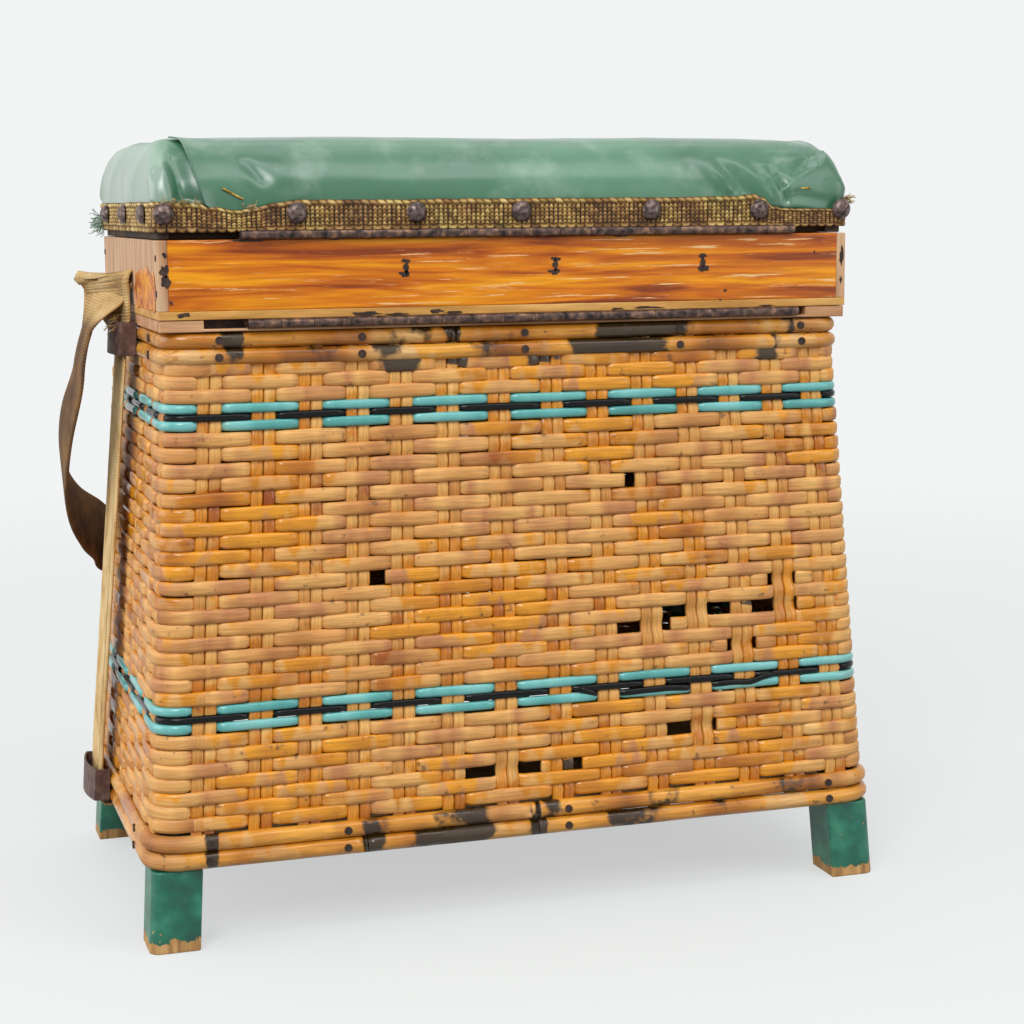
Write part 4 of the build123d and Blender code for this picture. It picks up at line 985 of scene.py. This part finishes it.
def braid_outline(run):
    """Point and normal on the braid's inner outline at a run in mm from the left corner."""
    half_x, half_y, corner = BRAID_HALF
    arc = corner * math.pi / 2
    for side in range(4):
        half, face = (half_x, half_y) if side % 2 == 0 else (half_y, half_x)
        straight = 2 * (half - corner)
        turn = Matrix.Rotation(side * math.pi / 2, 3, "Z")
        if run <= straight:
            return turn @ Vector((run - half + corner, -face, 0)), turn @ Vector((0, -1, 0))
        run -= straight
        if run <= arc:
            angle = run / corner
            normal = Vector((math.sin(angle), -math.cos(angle), 0))
            return turn @ (Vector((half - corner, corner - face, 0)) + normal * corner), turn @ normal
        run -= arc
    return braid_outline(0.0)


def bead(place, pitch):
    """Height of a round bead in a row of them, 0 to 1."""
    phase = (place / pitch) % 1.0 * 2 - 1
    return math.sqrt(max(1 - phase * phase, 0.0))


def build_braid():
    bm = new_strands()
    around = bm.verts.layers.float["around"]
    half_x, half_y, corner = BRAID_HALF
    whole = 4 * (half_x + half_y - 2 * corner) + FULL_TURN * corner
    bmesh.ops.create_grid(bm, x_segments=BRAID_COLUMNS, y_segments=BRAID_ROWS, size=0.5)
    pitch = whole / round(whole / BRAID_PITCH)
    random.seed(11)
    tones = [[random.uniform(0.55, 1.0) for _ in range(12)] for _ in range(1000)]
    for vert in bm.verts:
        run = round((vert.co.x + 0.5) * BRAID_COLUMNS) % BRAID_COLUMNS / BRAID_COLUMNS * whole
        v = vert.co.y + 0.5
        point, normal = braid_outline(run)
        wave = 0.5 * noise.noise(Vector((run / 34, 2.0, 0))) + 0.3 * noise.noise(Vector((run / 9, 5.0, 0)))
        high = braid_top(point) + wave
        loop = bead(run, pitch)
        low = BRAID_LOW + 1.1 - 1.1 * loop + 0.4 * wave
        column = int(run / pitch * 2) % 1000
        # tone follows the relief: painted shade where it is low, painted highlight where it is raised, times
        # a random tone per column
        if v < 0.2:
            share = v / 0.2
            rise = loop * math.sin(math.pi * (0.12 + 0.76 * share))
            hollow = smooth(0.72, 0.95, loop) * smooth(0.3, 0.6, share) * 0.5
            out = 1.5 * rise - 0.7 * hollow
            tone = (0.15 + 0.85 * rise - 0.6 * hollow) * tones[column // 2 * 2][0]
        elif v < 0.83:
            slant = abs((run / pitch * 2) % 1.0 - 0.5) * 1.3
            knot_at = (v - 0.2) / 0.63 * 5.0 + slant
            knot = bead(run, pitch / 2) * bead(knot_at, 1.0)
            edge = smooth(0.12, 0.5, loop)
            out = 0.4 + 0.9 * knot * edge
            tone = (0.05 + 0.85 * knot * edge) * tones[column][int(knot_at)]
        else:
            share = (v - 0.83) / 0.17
            cord = (run + 2.2 * share) / 4.6
            rise = bead(cord, 1.0) ** 0.7 * math.sin(math.pi * (0.1 + 0.8 * share))
            out = 0.5 + 1.25 * rise
            tone = (0.12 + 0.9 * rise) * tones[int(cord) % 1000][1]
        vert.co = (point + normal * out + UP * (low + (high - low) * v)) * MM
        vert[around] = tone
    bmesh.ops.remove_doubles(bm, verts=bm.verts, dist=1e-6)
    rims = [e for e in bm.edges if e.is_boundary]
    inner = [g for g in bmesh.ops.extrude_edge_only(bm, edges=rims)["geom"]
             if isinstance(g, bmesh.types.BMVert)]
    bmesh.ops.scale(bm, vec=(0.9955, 0.992, 1), verts=inner)
    bmesh.ops.bridge_loops(bm, edges=[e for e in bm.edges if e.is_boundary])
    finish_piece("gimp_braid", bm, braid_material(), "lid", ("lid_braid",))


build_braid()


# Canvas webbing: coarse plain weave of thick tan yarn, 1.6 mm apart
def webbing_material():
    material, shader, body, node = new_material("canvas_webbing", 0.9)
    along, around, _, darkening = (node("Attribute", attribute_name=name, out="Fac") for name in LAYERS)
    place = node("CombineXYZ", {0: along, 1: around})
    picks = node("TexWave", {"Vector": place, "Scale": 190.0},
                 wave_type="BANDS", bands_direction="X", wave_profile="SIN")
    ends = node("TexWave", {"Vector": place, "Scale": 19.0},
                wave_type="BANDS", bands_direction="Y", wave_profile="SIN")
    weave = node("Math", {0: picks, 1: ends}, operation="MULTIPLY")
    stain = node("TexNoise", {"Vector": body, "Scale": 60.0, "Detail": 5.0})
    tone = node("Math", {0: weave, 1: 0.35}, operation="MULTIPLY")
    tone = node("Math", {0: tone, 1: stain}, operation="ADD")
    paler_tone = node("ValToRGB", {0: tone}, stops=((0.3, "#a87d42"), (0.5, "#dbb273"), (0.75, "#f0d39c")))
    # The dark ramp stands for stains and for painted shade on the loop and past the fold
    soiled_and_shaded = node("ValToRGB", {0: tone}, stops=((0.3, "#3a2512"), (0.5, "#5f4022"), (0.8, "#8a6436")))
    colour = node("Mix", {0: darkening, 6: paler_tone, 7: soiled_and_shaded}, **COLOUR_MIX)
    bump = node("Bump", {"Strength": 0.9, "Distance": 0.0007, "Height": weave})
    fill(shader, {"Base Color": colour, "Normal": bump})
    return material


webbing = webbing_material()
HALF_WEB, HALF_THICK = 20.0, 1.1


def add_ribbon(bm, stations):
    """Webbing through stations in mm: middle, direction of its width, darkening by stain and painted shade.
    """
    found = []
    for number, (middle, across, darkening) in enumerate(stations):
        before = Vector(stations[max(number - 1, 0)][0])
        after = Vector(stations[min(number + 1, len(stations) - 1)][0])
        along = (after - before).normalized()
        wide = Vector(across)
        wide = (wide - along * wide.dot(along)).normalized()
        flat = wide.cross(along)
        found.append((Vector(middle) * MM, flat * HALF_THICK * MM, wide * HALF_WEB * MM, darkening))
    add_strand(bm, found, sides=20, square=7.0)


# The loop's left half: middle x, y, z and the turn of its width from Y towards Z
LOOP_HALF = ((-224.8, 1.6, 331.0, 0), (-227.3, 1.6, 323.0, 0), (-229.4, 2.0, 313.0, 4),
             (-231.1, 4.0, 301.0, 14), (-236.4, 12.0, 279.0, 30), (-237.9, 28.0, 258.0, 46),
             (-235.9, 50.0, 240.0, 54),
             (-229.9, 78.0, 223.0, 60), (-221.5, 99.0, 209.5, 65), (-210.6, 110.5, 199.0, 73),
             (-202.8, 117.4, 191.0, 82), (-192.0, 119.5, 187.0, 88), (-170.0, 119.5, 185.0, 90),
             (-90.0, 119.5, 184.0, 90), (0.0, 119.5, 183.5, 90))
half = spline(LOOP_HALF, 6)
loop = half + [[-x, y, z, turn] for x, y, z, turn in reversed(half[:-1])]
# The loop is dark all over: stained, and painted shade for the shade on its inner face
bm = new_strands()
add_ribbon(bm, [((x, y, z), (0, math.cos(math.radians(turn)), math.sin(math.radians(turn))), 1.0)
                for x, y, z, turn in loop])
finish_piece("strap_loop_webbing", close_strands(bm), webbing, "strap", ("strap_loop",))

# Each end: the tail up to the keeper, then a riser that turns over at the crest, with
# the webbing twisted so that its face shows from the hinge side. The crest is x, y, z,
# swing in degrees and darkening, which past the fold is stain with painted shade on the
# turned-away face, and the tail and the stretch under the basket are x, y, z
CREST = ((-206.3, 0.0, 319.0, 0, 0.2), (-206.6, -0.1, 329.0, 6, 0.25), (-208.9, -0.4, 340.0, 18, 0.25),
         (-212.0, -0.8, 351.0, 29, 0.3), (-213.8, -1.2, 358.0, 34, 0.35), (-213.3, -0.1, 361.3, 34, 0.3),
         (-212.6, 1.2, 358.4, 34, 0.25), (-215.2, 2.2, 350.0, 28, 0.25), (-220.4, 2.0, 340.0, 10, 0.35),
         (-224.4, 1.6, 332.0, 0, 1), (-226.1, 1.6, 327.0, 0, 1))
TAIL = ((-223.0, 45.0, 47.0), (-223.0, 45.0, 57.0), (-222.7, 44.2, 69.0), (-221.2, 40.2, 93.0),
        (-214.6, 22.5, 192.0), (-207.4, 3.2, 302.0), (-206.5, 0.6, 314.0), (-206.3, 0.0, 320.0))
for side, name in ((1, "left"), (-1, "right")):
    bm = new_strands()
    stations = []
    for x, y, z, swing, darkening in spline(CREST, 6):
        swing = math.radians(swing)
        stations.append(((side * x, y, z), (-side * math.sin(swing), math.cos(swing), 0), darkening))
    add_ribbon(bm, stations)
    crest = finish_piece("strap_crest_" + name, close_strands(bm), webbing, None,
                         ("strap_tail_" + name,))
    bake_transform(crest, "basket", "strap", start=(-side * 0.2085, 0, 0.36), end=(-side * 0.2225, 0, 0.36))
    bm = new_strands()
    add_ribbon(bm, [((side * x, y, z), (0, 1, 0), 0.0) for x, y, z in TAIL])
    finish_piece("strap_tail_" + name + "_webbing", close_strands(bm), webbing, "basket")
UNDER = ((-223.0, 45.0, 47.0), (-222.9, 45.0, 46.0), (-222.3, 45.0, 44.9), (-221.2, 45.0, 43.9),
         (-219.5, 45.0, 43.5), (-200.0, 45.0, 43.4), (0.0, 45.0, 43.2), (200.0, 45.0, 43.4),
         (219.5, 45.0, 43.5), (221.2, 45.0, 43.9), (222.3, 45.0, 44.9), (222.9, 45.0, 46.0),
         (223.0, 45.0, 47.0))
bm = new_strands()
add_ribbon(bm, [((x, y, z), (0, 1, 0), 0.6) for x, y, z in UNDER])
finish_piece("strap_under_webbing", close_strands(bm), webbing, "basket", ("strap_under",))


# Loose threads: a frayed spot at the foot of the near riser, a green tuft where the
# cover's edge has come apart, and ends of braid at the right corner and on the hinge side
THREAD_HALF = 0.22


def add_threads(bm, middle, spread, lean, length, count):
    """Thin bent threads in mm round a middle, leaning one way."""
    for number in range(count):
        root = Vector(middle) + Vector([random.uniform(-q, q) for q in spread])
        way = (Vector(lean) + Vector([random.uniform(-0.8, 0.8) for _ in range(3)])).normalized()
        sag = Vector([random.uniform(-1, 1) for _ in range(3)]) * 0.16 * length
        reach = length * random.uniform(0.5, 1.0)
        wide = way.orthogonal().normalized()
        thick = way.cross(wide)
        stations = []
        for step in range(6):
            t = step / 5
            place = root + way * reach * t + sag * math.sin(math.pi * t)
            stations.append((place * MM, wide * THREAD_HALF * MM, thick * THREAD_HALF * MM, 0.0))
        add_strand(bm, stations, sides=4, square=2.0, grain=number / count)


random.seed(23)
for name, material, body, slot, runs in (
        ("frayed_webbing", webbing, "basket", "webbing",
         (((-209.6, -9.5, 337), (0.9, 4, 5), (-0.5, -0.5, -0.3), 8, 70),)),
        ("cover_tuft", leathercloth, "lid", "leathercloth",
         (((-202.5, 98, 392), (0.5, 6, 4), (-0.8, 0.0, -0.3), 9, 60),)),
        ("braid_tassels", webbing, "lid", "braid",
         (((202.6, -103, 402), (0.6, 3, 1.5), (0.7, -0.3, 0.4), 6, 24),
          ((-150, -110.6, 400), (4, 0.3, 0.8), (0.2, -0.6, 0.4), 3.5, 14),
          ((-186, -110.6, 402), (10, 0.3, 0.8), (0.0, -0.5, 0.8), 3.5, 40)))):
    bm = new_strands()
    for run in runs:
        add_threads(bm, *run)
    finish_piece(name, close_strands(bm), material, body)


# Floor, light and camera
BACKDROP = "#f2f4f4"


def seen_straight(node):
    """Socket that is 1 for camera and mirror rays, and 0 for light on its way."""
    rays = [node("LightPath", out=name) for name in ("Is Camera Ray", "Is Glossy Ray")]
    return node("Math", {0: rays[0], 1: rays[1]}, operation="ADD")


def floor_material():
    """Pale floor that keeps the shadow, and fades into the background with distance."""
    material, shader, body, node = new_material("pale_floor", 0.9)
    reach = node("VectorMath", {0: body}, operation="LENGTH", out="Value")
    far = node("MapRange", {0: reach, 1: 0.45, 2: 1.9}, interpolation_type="SMOOTHSTEP")
    colour = node("Mix", {0: far, 6: linear("#868988"), 7: linear("#000000")}, **COLOUR_MIX)
    level = node("MapRange", {0: far, 3: 0.6, 4: 1.0})
    glow = node("Math", {0: seen_straight(node), 1: level}, operation="MULTIPLY")
    fill(shader, {"Base Color": colour, "Emission Strength": glow,
                  "Emission Color": linear(BACKDROP), "Specular IOR Level": 0.0})
    return material


FLOOR_HALF = 40.0
bm = bmesh.new()
bmesh.ops.create_grid(bm, x_segments=1, y_segments=1, size=FLOOR_HALF)
mesh_object("floor", bm, floor_material())


def area_light(name, place, target, width, height, power):
    lamp = bpy.data.lights.new(name, "AREA")
    lamp.shape = "RECTANGLE"
    lamp.size = width
    lamp.size_y = height
    lamp.energy = power
    holder = bpy.data.objects.new(name, lamp)
    bpy.context.scene.collection.objects.link(holder)
    holder.location = place
    holder.rotation_euler = (Vector(target) - Vector(place)).to_track_quat("-Z", "Y").to_euler()


area_light("key", (-1.3, -2.0, 2.0), (0, 0, 0.25), 1.1, 1.1, 41)
area_light("left_wall", (-2.6, 0.3, 0.9), (-0.2, 0, 0.25), 2.0, 2.0, 34)
area_light("fill", (1.9, -1.9, 1.0), (0, 0, 0.2), 1.6, 1.6, 15)
area_light("top", (0.2, 0.6, 2.4), (0, 0, 0.3), 1.6, 1.6, 8)
area_light("overhead_strip", (0.1, -0.95, 2.0), (0, -0.1, 0.42), 2.4, 0.45, 13)

world = bpy.data.worlds.new("studio")
bpy.context.scene.world = world
world.use_nodes = True
node = partial(add_node, world.node_tree)
back = world.node_tree.nodes["Background"]
fill(back, {"Color": linear(BACKDROP), "Strength": 0.72})
seen = node("Background", {"Color": linear(BACKDROP), "Strength": 1.0})
choose = node("MixShader", {0: seen_straight(node), 1: back.outputs[0], 2: seen})
fill(world.node_tree.nodes["World Output"], {"Surface": choose})

# Camera, from the fit of the basket's corners
CAMERA_AT = (-0.3634, -1.2136, 0.3986)
CAMERA_YAW, CAMERA_PITCH, CAMERA_ROLL = (math.radians(a) for a in (17.96, 8.29, -0.41))
FOCAL_PIXELS, FRAME_PIXELS, SENSOR = 2087, 1024, 36.0
forward = Vector((math.sin(CAMERA_YAW) * math.cos(CAMERA_PITCH),
                  math.cos(CAMERA_YAW) * math.cos(CAMERA_PITCH), -math.sin(CAMERA_PITCH)))
level = Vector((math.cos(CAMERA_YAW), -math.sin(CAMERA_YAW), 0))
above = level.cross(forward)
right = level * math.cos(CAMERA_ROLL) + above * math.sin(CAMERA_ROLL)
top = above * math.cos(CAMERA_ROLL) - level * math.sin(CAMERA_ROLL)
lens = bpy.data.cameras.new("camera")
lens.sensor_width = SENSOR
lens.sensor_fit = "HORIZONTAL"
lens.lens = FOCAL_PIXELS / FRAME_PIXELS * SENSOR
camera = bpy.data.objects.new("camera", lens)
bpy.context.scene.collection.objects.link(camera)
camera.matrix_world = Matrix.Translation(CAMERA_AT) @ Matrix((right, top, -forward)).transposed().to_4x4()
bpy.context.scene.camera = camera
bpy.context.scene.view_settings.view_transform = "Standard"

bpy.context.view_layer.update()
